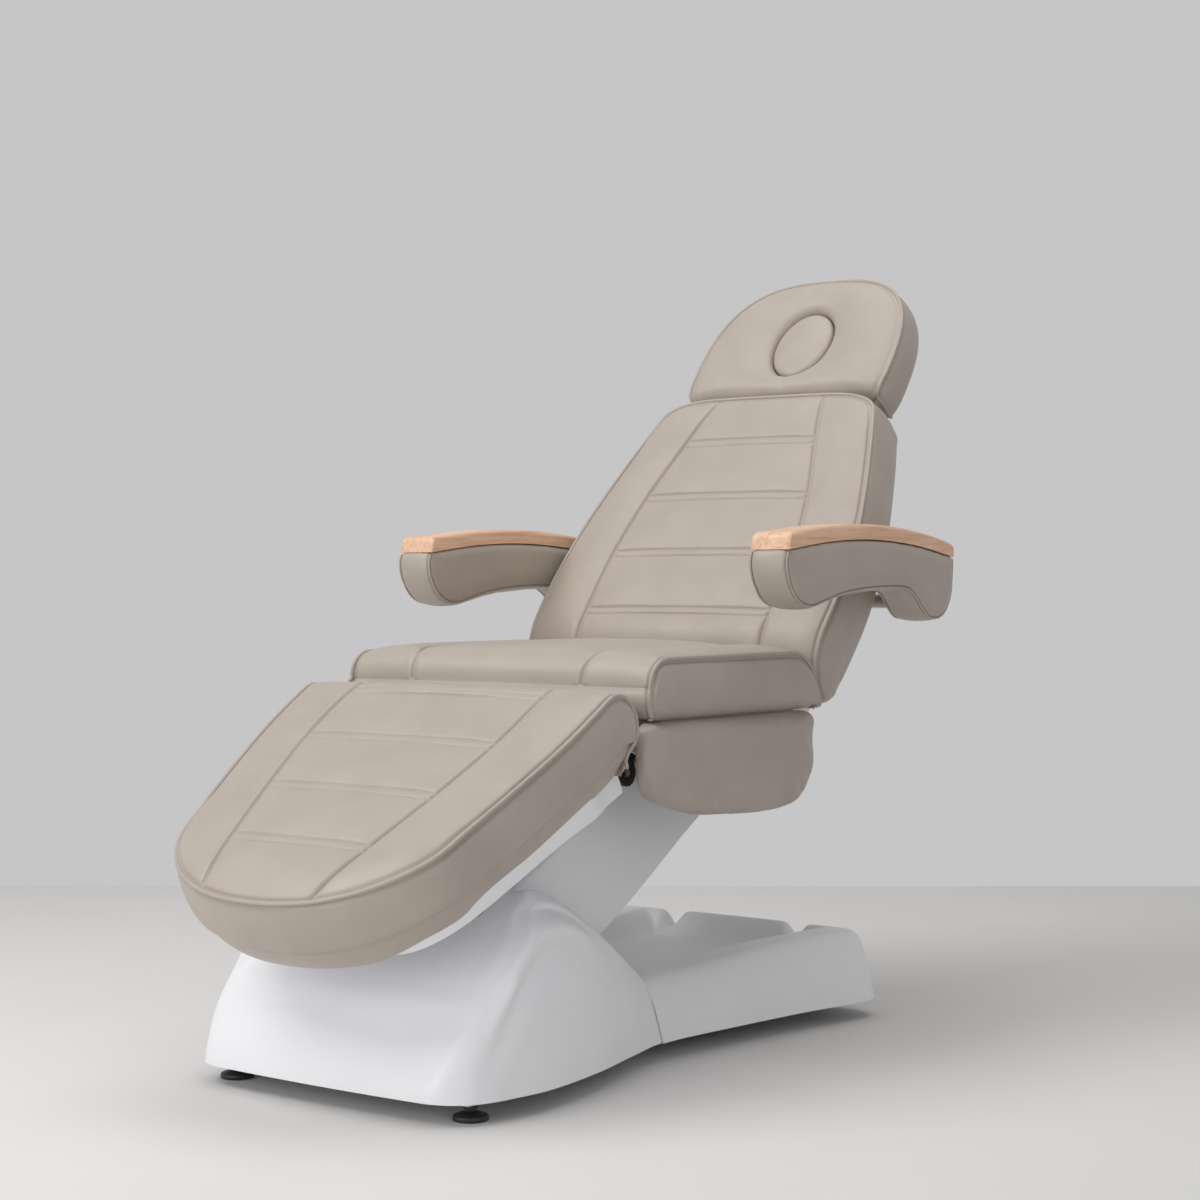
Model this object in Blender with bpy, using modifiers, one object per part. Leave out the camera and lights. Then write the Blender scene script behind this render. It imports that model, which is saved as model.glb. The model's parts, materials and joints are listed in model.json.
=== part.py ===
"""Electric beauty bed: lifting base, seat, powered backrest and leg rest, headrest and armrests.

Metres, +Z up. The foot end points to -Y, the head end to +Y, and the floor is z = 0.
Each moving body is modelled in the frame of its own joint, an empty on the joint's axis.
The leg rest and the backrest are drawn flat there, and their frames turn them to their resting slope.
"""

import math

import bmesh
import bpy
from mathutils import Matrix
from mathutils import Vector

# Clearances and facets
GAP = 0.0003
ROUND_SIDES = 16
ARC_STEPS = 4

# Resting attitude
LIFT_SLOPE = math.radians(28.7)
LEG_DROP = math.radians(32.5)
BACK_RISE = math.radians(52.7)

# Base frame
ORIGIN_Y = -0.0380
FOOT_X = 0.226
REAR_FOOT_X = 0.150
FOOT_RADIUS = 0.025
FOOT_HEIGHT = 0.0237
BEAM_LENGTH = 0.484
BEAM_WIDTH = 0.050
BEAM_HEIGHT = 0.030
TUBE_WALL = 0.003
FRONT_BEAM_Y = -0.538
REAR_BEAM_Y = 0.435
BASE_RAIL_X = 0.170
BASE_RAIL_WIDTH = 0.040
PIVOT_PLATE_FRONT = -0.380
PIVOT_PLATE_REAR = -0.150
PIVOT_PLATE_THICKNESS = 0.008
PIVOT_PLATE_HALF_WIDTH = 0.190

# Lift arm, parallel link and their pivots
ARM_PIVOT_Y = -0.300
ARM_PIVOT_Z = 0.190
ARM_LENGTH = 0.5016
ARM_BEAM_X = 0.100
ARM_BEAM_WIDTH = 0.030
ARM_BEAM_HEIGHT = 0.050
BRACKET_X = 0.074
BRACKET_THICKNESS = 0.008
BRACKET_END_RADIUS = 0.030
SHAFT_RADIUS = 0.014
PIN_RADIUS = 0.008
LINK_RISE = 0.060
LINK_X = 0.045
LINK_WIDTH = 0.018
LINK_THICKNESS = 0.008
ARM_COVER_HALF_WIDTH = 0.1185
ARM_COVER_WALL = 0.003
ARM_COVER_TOP = 0.085
ARM_COVER_BOTTOM = 0.080
ARM_COVER_START = 0.070
ARM_COVER_SHOULDER = 0.380
ARM_COVER_END_CLEARANCE = 0.0016
ARM_COVER_CORNER = 0.020
ARM_CROSS_ALONG = 0.400
ARM_CROSS_BELOW = 0.030
ARM_CROSS_RADIUS = 0.010

# Linear actuators
LIFT_ACTUATOR_Y = -0.200
LIFT_ACTUATOR_Z = 0.095
ACTUATOR_TUBE_RADIUS = 0.020
ACTUATOR_ROD_RADIUS = 0.010
ACTUATOR_MOTOR_RADIUS = 0.021
ACTUATOR_MOTOR_OFFSET = 0.045
ACTUATOR_BLOCK = 0.024
ACTUATOR_EYE_RADIUS = 0.016
ACTUATOR_X = 0.195
ACTUATOR_BELOW_FRAME = 0.0244
ACTUATOR_MOTOR_END = 0.170
LIFT_TUBE_LENGTH = 0.250
LIFT_BORE_START = 0.060
LIFT_ROD_START = 0.070
BACK_TUBE_LENGTH = 0.250
BACK_BORE_START = 0.050
BACK_ROD_START = 0.130
LEG_TUBE_LENGTH = 0.260
LEG_BORE_START = 0.100
LEG_ROD_START = 0.150
LIFT_EYE_CLEARANCE = 0.0068
LEVER_PIN_RADIUS = 0.006
LEVER_SLOT_CLEARANCE = 0.0030
LEVER_RIM = 0.011
CONTROL_BOX_LENGTH = 0.150
CONTROL_BOX_Y = 0.240
CONTROL_BOX_HEIGHT = 0.040
COVER_BRACKET_Y = 0.060
COVER_BRACKET_WIDTH = 0.040

# Base covers
COVER_WALL = 0.0035
COVER_BOTTOM = 0.030
COVER_FRONT = -0.611
COVER_SEAM = -0.075
COVER_REAR = 0.497
COVER_FRONT_BOW = 0.008
COVER_REAR_BOW = 0.014
COVER_SLOT_HALF_WIDTH = 0.135
COVER_SLOT_FRONT = -0.411
COVER_RAMP_LENGTH = 0.200
COVER_RAMP_RISE = 0.225
COVER_FLOOR = 0.105
COVER_RIDGE_WIDTH = 0.085
COVER_RIDGE_FALL = 0.050
COVER_WALL_ROUND = 0.055
COVER_NOTCH_X = 0.128
COVER_NOTCH_WIDTH = 0.013
COVER_GROOVE_DEPTH = 0.018
COVER_GROOVE_WIDTH = 0.013
COVER_GROOVE_OFFSET = 0.025
COVER_WIDTHS = (
    (-0.611, 0.205), (-0.604, 0.228), (-0.590, 0.248), (-0.570, 0.262), (-0.530, 0.273),
    (-0.435, 0.283), (-0.300, 0.266), (-0.180, 0.237), (-0.067, 0.214), (0.063, 0.228),
    (0.260, 0.251), (0.420, 0.276), (0.460, 0.276), (0.482, 0.262), (0.497, 0.235),
)
COVER_LIP_X = (
    (-0.611, 0.172), (-0.560, 0.228), (-0.500, 0.214), (-0.450, 0.198), (-0.400, 0.185),
    (-0.300, 0.172), (-0.200, 0.163), (-0.075, 0.152),
)
COVER_CRESTS = (
    (-0.611, 0.110), (-0.560, 0.140), (-0.520, 0.190), (-0.480, 0.236), (-0.440, 0.270),
    (-0.400, 0.286), (-0.340, 0.284), (-0.270, 0.258), (-0.170, 0.202), (-0.075, 0.136),
)
COVER_RIDGES = ((-0.075, 0.118), (0.100, 0.133), (0.280, 0.143), (0.497, 0.147))

# Seat, measured from the seat's pivot on the lift arm
SEAT_TOP = 0.189
SEAT_CUSHION_HEIGHT = 0.090
SEAT_HALF_WIDTH = 0.296
SEAT_FRONT = -0.357
SEAT_REAR = 0.096
SEAT_EDGE_ROUND = 0.040
SEAT_REAR_ROUND = 0.072
SEAT_SEAM_X = 0.190
BOARD_THICKNESS = 0.015
BOARD_INSET = 0.015
SEAT_PLATE_X = 0.236
SEAT_PLATE_TAPER = 0.040
SEAT_RAIL_START = -0.300
SEAT_RAIL_END = 0.060
SEAT_RAIL_OUTER = 0.2747
SEAT_CROSS_WIDTH = 0.040
SEAT_CROSS_HEIGHT = 0.040
SEAT_CROSS_FRONT_Y = -0.230
SEAT_CROSS_REAR_Y = 0.060
SEAT_BRACKET_FRONT = -0.080
SIDE_CUSHION_OUTER_X = 0.308
SIDE_CUSHION_FRONT = -0.374
SIDE_CUSHION_REAR = 0.086
SIDE_CUSHION_TOP = 0.094
SIDE_CUSHION_BOTTOM = -0.059
SIDE_CUSHION_FRONT_RISE = 0.047
SIDE_CUSHION_MIDDLE_RISE = 0.010
SIDE_CUSHION_FRONT_ROUND = 0.050
SIDE_CUSHION_BELLY_ROUND = 0.300
SIDE_CUSHION_ROUND = 0.088
SIDE_CUSHION_TOP_ROUND = 0.022
HINGE_PLATE_THICKNESS = 0.008
HINGE_PLATE_WIDTH = 0.034
HINGE_PIN_RADIUS = 0.006
HINGE_END_RADIUS = 0.015

# Leg rest, drawn flat and measured from its hinge
LEG_HINGE_Y = -0.344
LEG_FACE = 0.108
LEG_CUSHION_THICKNESS = 0.110
LEG_START = 0.038
LEG_END = 0.563
LEG_END_BOW = 0.155
LEG_HEEL = 0.058
LEG_EDGE_ROUND = 0.020
LEG_STITCH_FIRST = 0.067
LEG_STITCH_PITCH = 0.121
LEG_WIDTHS = ((0.038, 0.299), (0.160, 0.295), (0.286, 0.276), (0.400, 0.252), (0.440, 0.249))
LEG_SEAMS = ((0.038, 0.188), (0.180, 0.184), (0.306, 0.163), (0.433, 0.133), (0.561, 0.104))
LEG_BOARD_THICKNESS = 0.010
LEG_BOARD_START = 0.070
LEG_BOARD_LIP = 0.007
LEG_BOARD_TOE_INSET = 0.076
LEG_BOARD_TOE_DRAW = 0.080
LEG_BOARD_TOE_ROUND = 0.070
LEG_BOARD_ROUND = 0.020
LEG_PAN_START = 0.050
LEG_PAN_END = 0.505
LEG_PAN_DEPTH = 0.0674
LEG_PAN_TOE_DEPTH = 0.008
LEG_PAN_HALF_WIDTH = 0.270
LEG_PAN_TOE_HALF_WIDTH = 0.196
LEG_PAN_WALL = 0.004
LEG_PLATE_LENGTH = 0.200

# Backrest, drawn flat and measured from its hinge
BACK_HINGE_Y = 0.1368
BACK_FACE = 0.105
BACK_CUSHION_THICKNESS = 0.095
BACK_START = 0.012
BACK_END = 0.607
BACK_ROLL_LENGTH = 0.125
BACK_ROLL_DROP = 0.070
BACK_EDGE_ROUND = 0.020
BACK_STITCH_FIRST = 0.133
BACK_STITCH_PITCH = 0.124
BACK_WIDTHS = (
    (0.012, 0.290), (0.067, 0.296), (0.190, 0.300), (0.314, 0.287), (0.404, 0.268), (0.507, 0.241),
    (0.563, 0.2235),
)
BACK_SEAMS = ((0.012, 0.188), (0.140, 0.189), (0.252, 0.186), (0.377, 0.167), (0.497, 0.136), (0.607, 0.109))
BACK_END_BOW = 0.045
BACK_FRAME_END = 0.577
BACK_BOARD_THICKNESS = 0.010
BACK_BOARD_START = 0.050
BACK_PLATE_LENGTH = 0.290
AXLE_ALONG = 0.255
AXLE_BEHIND = 0.030
AXLE_RADIUS = 0.012
AXLE_BOSS_RADIUS = 0.020
AXLE_BORE = 0.020

# Headrest, measured from its hinge on the backrest
HEAD_HINGE_BEYOND = 0.008
HEAD_HINGE_RADIUS = 0.006
HEAD_LUG_RADIUS = 0.012
HEAD_ARM_HALF_WIDTH = 0.020
HEAD_FORK_HALF_WIDTH = 0.036
HEAD_PLATE_LENGTH = 0.120
HEAD_FACE = 0.089
HEAD_CUSHION_THICKNESS = 0.080
HEAD_BOARD_THICKNESS = 0.010
HEAD_START = 0.008
HEAD_END = 0.288
HEAD_WIDEST = 0.060
HEAD_HALF_WIDTH = 0.206
HEAD_BOTTOM_HALF_WIDTH = 0.198
HEAD_ARCH_POWER = 2.4
HEAD_ARCH_ROOT = 2.6
HEAD_BOTTOM_ROUND = 0.014
FACE_HOLE_ALONG = 0.128
FACE_HOLE_HALF_WIDTH = 0.0535
FACE_HOLE_HALF_HEIGHT = 0.074
FACE_HOLE_LEDGE = 0.012
FACE_PLUG_RECESS = 0.010

# Armrests, measured from their pivot on the axle
ARMREST_INNER_X = 0.321
ARMREST_WIDTH = 0.072
ARMREST_FRONT = -0.452
ARMREST_REAR = 0.060
ARMREST_WOOD = 0.0245
ARMREST_WOOD_FRONT = 0.082
ARMREST_WOOD_CREST = 0.0998
ARMREST_WOOD_CREST_Y = -0.215
ARMREST_WOOD_REAR = 0.073
ARMREST_PAD_BOTTOM = -0.010
ARMREST_PAD_ARCH = 0.018
ARMREST_HOOK_FRONT = -0.050
ARMREST_HOOK_BOTTOM = -0.032

# Soft forms, with the power and root of the curves that round off a cushion's end
ROUND_TOE = (2.2, 1.8)
ROUND_CORNERS = (6.0, 2.0)
STRAIGHT_END = (0.0, 1.0, 1.0)
PIPING_DRAW = 0.003
SIDE_BULGE = 0.007
BOTTOM_DRAW = 0.010
CROWN = 0.010
PUFF = 0.006
SEAM_HALF_WIDTH = 0.007

# Heights and places that follow from the values above
BEAM_BOTTOM = FOOT_HEIGHT + GAP
BEAM_TOP = BEAM_BOTTOM + BEAM_HEIGHT
PIVOT_PLATE_TOP = BEAM_TOP + GAP + PIVOT_PLATE_THICKNESS
SEAT_BOARD_TOP = SEAT_TOP - SEAT_CUSHION_HEIGHT - GAP
SEAT_BOARD_BOTTOM = SEAT_BOARD_TOP - BOARD_THICKNESS
SEAT_CROSS_TOP = SEAT_BOARD_BOTTOM - GAP
SEAT_CROSS_BOTTOM = SEAT_CROSS_TOP - SEAT_CROSS_HEIGHT
SEAT_PLATE_INNER = SEAT_PLATE_X - HINGE_PLATE_THICKNESS / 2
SEAT_PLATE_OUTER = SEAT_PLATE_X + HINGE_PLATE_THICKNESS / 2
LEG_HINGE_Z = SEAT_TOP - LEG_FACE
BACK_HINGE_Z = SEAT_TOP - BACK_FACE
ACTUATOR_LINE = SEAT_CROSS_BOTTOM - ACTUATOR_BELOW_FRAME
MOVING_PLATE_X = SEAT_PLATE_X - GAP - HINGE_PLATE_THICKNESS
LEG_BOARD_TOP = LEG_FACE - LEG_CUSHION_THICKNESS - GAP
LEG_BOARD_BOTTOM = LEG_BOARD_TOP - LEG_BOARD_THICKNESS
BACK_BOARD_TOP = BACK_FACE - BACK_CUSHION_THICKNESS - GAP
BACK_BOARD_BOTTOM = BACK_BOARD_TOP - BACK_BOARD_THICKNESS
HEAD_HINGE_ALONG = BACK_END + HEAD_HINGE_BEYOND
HEAD_BOARD_TOP = HEAD_FACE - HEAD_CUSHION_THICKNESS - GAP
HEAD_BOARD_BOTTOM = HEAD_BOARD_TOP - HEAD_BOARD_THICKNESS

# Directions of the extruded outlines
PLANE_YZ = Matrix(((0, 0, 1), (1, 0, 0), (0, 1, 0)))
PLANE_XZ = Matrix(((1, 0, 0), (0, 0, -1), (0, 1, 0)))
PLANE_XY = Matrix.Identity(3)


# Scene, materials and frames

def clear_scene():
    for item in list(bpy.data.objects):
        bpy.data.objects.remove(item, do_unlink=True)
    for group in list(bpy.data.collections):
        bpy.data.collections.remove(group)


def collection(name):
    group = bpy.data.collections.new(name)
    bpy.context.scene.collection.children.link(group)
    return group


def material(name, colour, roughness, metallic=0.0):
    made = bpy.data.materials.new(name)
    made.use_nodes = True
    shader = made.node_tree.nodes["Principled BSDF"]
    shader.inputs["Base Color"].default_value = (*colour, 1.0)
    shader.inputs["Roughness"].default_value = roughness
    shader.inputs["Metallic"].default_value = metallic
    return made


clear_scene()
PARTS = collection("electric_beauty_bed")
CUTTERS = collection("cutters")
LEATHER = material("taupe_leather", (0.46, 0.41, 0.365), 0.45)
ABS = material("white_moulding", (0.82, 0.82, 0.84), 0.35)
WHITE_STEEL = material("white_steel", (0.80, 0.80, 0.80), 0.40, 0.2)
BLACK_STEEL = material("black_steel", (0.03, 0.03, 0.03), 0.45, 0.4)
BARE_STEEL = material("bare_steel", (0.55, 0.55, 0.56), 0.30, 1.0)
BEECH = material("beech", (0.70, 0.46, 0.28), 0.45)
PLYWOOD = material("plywood", (0.62, 0.48, 0.33), 0.70)
BLACK_PLASTIC = material("black_plastic", (0.03, 0.03, 0.03), 0.50)


class Frame:
    """An empty on a joint's axis, turned about X. Its pieces are placed in its own Y and Z."""

    def __init__(self, name, parent=None, y=0.0, z=0.0, angle=0.0):
        self.parent = parent
        self.empty = bpy.data.objects.new(name, None)
        self.empty.empty_display_size = 0.05
        self.empty.location = (0.0, y, z)
        self.empty.rotation_euler = (angle, 0.0, 0.0)
        PARTS.objects.link(self.empty)
        if parent:
            self.empty.parent = parent.empty


def place(name, data, frame, surface, matrix=None):
    item = bpy.data.objects.new(name, data)
    item.matrix_local = matrix or Matrix.Identity(4)
    item.parent = frame.empty
    data.materials.append(surface)
    PARTS.objects.link(item)
    return item


def as_cutter(item):
    item.hide_render = True
    item.display_type = "WIRE"
    PARTS.objects.unlink(item)
    CUTTERS.objects.link(item)
    return item


def combine(item, other, operation):
    as_cutter(other)
    modifier = item.modifiers.new(operation.lower(), "BOOLEAN")
    modifier.object = other
    modifier.operation = operation
    modifier.solver = "EXACT"


# Outlines

def smooth_through(points, value):
    """Height of a smooth curve through the points, flat beyond its ends."""
    if value <= points[0][0]:
        return points[0][1]
    if value >= points[-1][0]:
        return points[-1][1]
    slopes = []
    for index in range(len(points)):
        before = points[max(index - 1, 0)]
        after = points[min(index + 1, len(points) - 1)]
        slopes.append((after[1] - before[1]) / (after[0] - before[0]))
    index = next(i for i in range(len(points) - 1) if value <= points[i + 1][0])
    (x0, y0), (x1, y1) = points[index], points[index + 1]
    span = x1 - x0
    t = (value - x0) / span
    rise = (2 * t ** 3 - 3 * t ** 2 + 1) * y0 + (3 * t ** 2 - 2 * t ** 3) * y1
    bend = (t ** 3 - 2 * t ** 2 + t) * slopes[index] + (t ** 3 - t ** 2) * slopes[index + 1]
    return rise + span * bend


def smooth_step(low, high, value):
    t = min(max((value - low) / (high - low), 0.0), 1.0)
    return t * t * (3 - 2 * t)


def circle(centre, radius, sides=ROUND_SIDES):
    turn = 2 * math.pi / sides
    return [
        (centre[0] + radius * math.cos(turn * i), centre[1] + radius * math.sin(turn * i))
        for i in range(sides)
    ]


def filleted(corners, steps=ARC_STEPS):
    """Closed outline from (u, v, radius) corners, each rounded by an arc."""
    outline = []
    count = len(corners)
    for index, (u, v, radius) in enumerate(corners):
        here = Vector((u, v))
        to_last = (Vector(corners[index - 1][:2]) - here).normalized()
        to_next = (Vector(corners[(index + 1) % count][:2]) - here).normalized()
        if radius <= 0:
            outline.append((u, v))
            continue
        half = to_last.angle(to_next) / 2
        reach = radius / math.tan(half)
        centre = here + (to_last + to_next).normalized() * (radius / math.sin(half))
        start = here + to_last * reach - centre
        sweep = start.angle_signed(here + to_next * reach - centre)
        for step in range(steps + 1):
            turned = start.copy()
            turned.rotate(Matrix.Rotation(-sweep * step / steps, 2))
            outline.append(tuple(centre + turned))
    return outline


def capsule(start, end, radius):
    """Outline of a bar with round ends about two points."""
    heading = math.atan2(end[1] - start[1], end[0] - start[0])
    half_sides = ROUND_SIDES // 2
    outline = []
    for centre, turn in ((end, -math.pi / 2), (start, math.pi / 2)):
        for step in range(half_sides + 1):
            angle = heading + turn + math.pi * step / half_sides
            outline.append((centre[0] + radius * math.cos(angle), centre[1] + radius * math.sin(angle)))
    return outline


def offset_outline(outline, distance):
    """Outline moved outwards along its own normals, for one that runs counter-clockwise."""
    moved = []
    count = len(outline)
    for index, point in enumerate(outline):
        before = Vector(outline[index - 1])
        after = Vector(outline[(index + 1) % count])
        along = (after - before).normalized()
        moved.append((point[0] + along.y * distance, point[1] - along.x * distance))
    return moved


# Solids

def extruded(name, outlines, thickness, frame, surface, plane=PLANE_YZ, at=(0.0, 0.0, 0.0)):
    """A flat outline with its holes, given a thickness across its plane."""
    curve = bpy.data.curves.new(name, "CURVE")
    curve.dimensions = "2D"
    curve.fill_mode = "BOTH"
    curve.extrude = thickness / 2
    for outline in outlines:
        spline = curve.splines.new("POLY")
        spline.points.add(len(outline) - 1)
        for point, (u, v) in zip(spline.points, outline):
            point.co = (u, v, 0.0, 1.0)
        spline.use_cyclic_u = True
    return place(name, curve, frame, surface, Matrix.Translation(at) @ plane.to_4x4())


def extruded_mesh(name, outlines, thickness, frame, surface, plane=PLANE_YZ, at=(0.0, 0.0, 0.0)):
    """As extruded, but as a mesh that can be cut or joined."""
    source = extruded(name + "_outline", outlines, thickness, frame, surface, plane, at)
    bpy.context.view_layer.update()
    evaluated = source.evaluated_get(bpy.context.evaluated_depsgraph_get())
    mesh = bpy.data.meshes.new_from_object(evaluated)
    mesh.materials.clear()
    work = bmesh.new()
    work.from_mesh(mesh)
    bmesh.ops.remove_doubles(work, verts=work.verts, dist=GAP / 10)
    bmesh.ops.dissolve_limit(work, angle_limit=0.001, verts=[], edges=work.edges)
    work.to_mesh(mesh)
    work.free()
    matrix = source.matrix_local.copy()
    bpy.data.objects.remove(source, do_unlink=True)
    return place(name, mesh, frame, surface, matrix)


def rectangle(half_u, low, high):
    return [(-half_u, low), (half_u, low), (half_u, high), (-half_u, high)]


def box(name, low, high, frame, surface):
    mesh = bpy.data.meshes.new(name)
    work = bmesh.new()
    bmesh.ops.create_cube(work, size=1.0)
    size = [b - a for a, b in zip(low, high)]
    middle = [(a + b) / 2 for a, b in zip(low, high)]
    bmesh.ops.scale(work, vec=size, verts=work.verts)
    bmesh.ops.translate(work, vec=middle, verts=work.verts)
    work.to_mesh(mesh)
    work.free()
    return place(name, mesh, frame, surface)


def round_edges(item, width, segments=2):
    modifier = item.modifiers.new("rounding", "BEVEL")
    modifier.width = width
    modifier.segments = segments
    modifier.limit_method = "ANGLE"


def cylinder(name, start, end, radius, frame, surface, sides=ROUND_SIDES):
    """A round bar between two points."""
    mesh = bpy.data.meshes.new(name)
    work = bmesh.new()
    start = Vector(start)
    end = Vector(end)
    axis = end - start
    turn = Vector((0.0, 0.0, 1.0)).rotation_difference(axis).to_matrix().to_4x4()
    bmesh.ops.create_cone(
        work, cap_ends=True, segments=sides, radius1=radius, radius2=radius, depth=axis.length,
        matrix=Matrix.Translation((start + end) / 2) @ turn,
    )
    work.to_mesh(mesh)
    work.free()
    mesh.shade_smooth()
    mesh.set_sharp_from_angle(angle=math.radians(40))
    return place(name, mesh, frame, surface)


def turned(name, profile, centre, frame, surface):
    """A turned piece from (radius, height) points that run from its top to its bottom."""
    mesh = bpy.data.meshes.new(name)
    work = bmesh.new()
    points = [work.verts.new((radius, 0.0, height)) for radius, height in profile]
    for first, second in zip(points, points[1:]):
        work.edges.new((first, second))
    work.to_mesh(mesh)
    work.free()
    item = place(name, mesh, frame, surface, Matrix.Translation(centre))
    screw = item.modifiers.new("turning", "SCREW")
    screw.steps = ROUND_SIDES
    screw.render_steps = ROUND_SIDES
    screw.use_merge_vertices = True
    screw.merge_threshold = 0.0001
    return item


def ring_loft(name, rings, frame, surface, closed=False):
    """A skin over rings of equal count: capped at both ends, or closed on itself."""
    mesh = bpy.data.meshes.new(name)
    work = bmesh.new()
    loops = [[work.verts.new(point) for point in ring] for ring in rings]
    pairs = list(zip(loops, loops[1:]))
    if closed:
        pairs.append((loops[-1], loops[0]))
    for lower, upper in pairs:
        count = len(lower)
        for index in range(count):
            following = (index + 1) % count
            work.faces.new((lower[index], lower[following], upper[following], upper[index]))
    if not closed:
        work.faces.new(loops[-1])
        work.faces.new(list(reversed(loops[0])))
    bmesh.ops.recalc_face_normals(work, faces=work.faces)
    work.to_mesh(mesh)
    work.free()
    mesh.shade_smooth()
    mesh.set_sharp_from_angle(angle=math.radians(50))
    return place(name, mesh, frame, surface)


# Base

def levelling_foot(name, x, y):
    frame = Frame(name + "_screw", BASE, y)
    nut_radius = FOOT_RADIUS * 0.42
    neck_radius = FOOT_RADIUS * 0.30
    profile = (
        (0.0, FOOT_HEIGHT), (nut_radius, FOOT_HEIGHT), (nut_radius, FOOT_HEIGHT * 0.68),
        (neck_radius, FOOT_HEIGHT * 0.66), (neck_radius, FOOT_HEIGHT * 0.52),
        (FOOT_RADIUS * 0.62, FOOT_HEIGHT * 0.42), (FOOT_RADIUS, FOOT_HEIGHT * 0.26),
        (FOOT_RADIUS, 0.0), (0.0, 0.0),
    )
    turned(name, profile, (x, 0.0, 0.0), frame, BLACK_PLASTIC)


def tube_across(name, y, width, bottom, top, half_length, frame):
    """A hollow square tube along X, with open ends."""
    outer = [(y + u, v) for u, v in rectangle(width / 2, bottom, top)]
    inner = [(y + u, v) for u, v in rectangle(width / 2 - TUBE_WALL, bottom + TUBE_WALL, top - TUBE_WALL)]
    extruded(name, (outer, inner), 2 * half_length, frame, WHITE_STEEL)


def tube_along(name, x, width, bottom, top, start, end, frame):
    """A hollow square tube along Y, with open ends."""
    outer = rectangle(width / 2, bottom, top)
    inner = rectangle(width / 2 - TUBE_WALL, bottom + TUBE_WALL, top - TUBE_WALL)
    middle = (x, (start + end) / 2, 0.0)
    extruded(name, (outer, inner), end - start, frame, WHITE_STEEL, PLANE_XZ, middle)


def base_frame():
    for name, y in (("base_beam_front", FRONT_BEAM_Y), ("base_beam_rear", REAR_BEAM_Y)):
        tube_across(name, y, BEAM_WIDTH, BEAM_BOTTOM, BEAM_TOP, BEAM_LENGTH / 2, BASE)
    start = FRONT_BEAM_Y + BEAM_WIDTH / 2 + GAP
    end = REAR_BEAM_Y - BEAM_WIDTH / 2 - GAP
    for side, x in (("left", -BASE_RAIL_X), ("right", BASE_RAIL_X)):
        tube_along("base_rail_" + side, x, BASE_RAIL_WIDTH, BEAM_BOTTOM, BEAM_TOP, start, end, BASE)
    for place_name, y, foot in (("front", FRONT_BEAM_Y, FOOT_X), ("rear", REAR_BEAM_Y, REAR_FOOT_X)):
        for side, x in (("left", -foot), ("right", foot)):
            levelling_foot("levelling_foot_" + place_name + "_" + side, x, y)
    half = PIVOT_PLATE_HALF_WIDTH
    box("pivot_plate", (-half, PIVOT_PLATE_FRONT, BEAM_TOP + GAP), (half, PIVOT_PLATE_REAR, PIVOT_PLATE_TOP),
        BASE, WHITE_STEEL)
    bottom = PIVOT_PLATE_TOP + GAP
    arm = (ARM_PIVOT_Y, ARM_PIVOT_Z)
    link = (ARM_PIVOT_Y, ARM_PIVOT_Z + LINK_RISE)
    actuator = (LIFT_ACTUATOR_Y, LIFT_ACTUATOR_Z)
    radius = BRACKET_END_RADIUS
    outline = filleted((
        (PIVOT_PLATE_FRONT, bottom, 0.0), (PIVOT_PLATE_REAR, bottom, 0.0),
        (PIVOT_PLATE_REAR, LIFT_ACTUATOR_Z + radius, radius * 0.8),
        (ARM_PIVOT_Y + radius, ARM_PIVOT_Z, radius),
        (ARM_PIVOT_Y + radius, link[1] + radius * 0.8, radius * 0.7),
        (ARM_PIVOT_Y - radius, link[1] + radius * 0.8, radius * 0.7),
        (ARM_PIVOT_Y - radius, ARM_PIVOT_Z, radius),
    ))
    holes = [
        circle(arm, SHAFT_RADIUS + GAP), circle(link, PIN_RADIUS + GAP), circle(actuator, PIN_RADIUS + GAP),
    ]
    for side, x in (("left", -BRACKET_X), ("right", BRACKET_X)):
        extruded("pivot_bracket_" + side, [outline] + holes, BRACKET_THICKNESS, BASE, WHITE_STEEL,
                 at=(x, 0, 0))
    shaft_end = ARM_BEAM_X + ARM_BEAM_WIDTH / 2
    cylinder("arm_lower_shaft", (-shaft_end, *arm), (shaft_end, *arm), SHAFT_RADIUS, BASE, BARE_STEEL)
    box_half = BASE_RAIL_X + BASE_RAIL_WIDTH / 2
    case = box(
        "control_box", (-box_half, CONTROL_BOX_Y - CONTROL_BOX_LENGTH / 2, BEAM_TOP + GAP),
        (box_half, CONTROL_BOX_Y + CONTROL_BOX_LENGTH / 2, BEAM_TOP + GAP + CONTROL_BOX_HEIGHT),
        BASE, BLACK_PLASTIC,
    )
    round_edges(case, 0.004, 1)
    floor_underside = COVER_FLOOR - COVER_WALL - GAP
    tube_across("rear_cover_bracket", COVER_BRACKET_Y, COVER_BRACKET_WIDTH, BEAM_TOP + GAP, floor_underside,
                box_half, BASE)


def rounded_wall(distance, reach):
    """Rise from 0 to 1 of a wall that starts steep and rolls over into the top."""
    share = min(max(distance / reach, 0.0), 1.0)
    return 1 - (1 - share) ** 2.3


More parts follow.
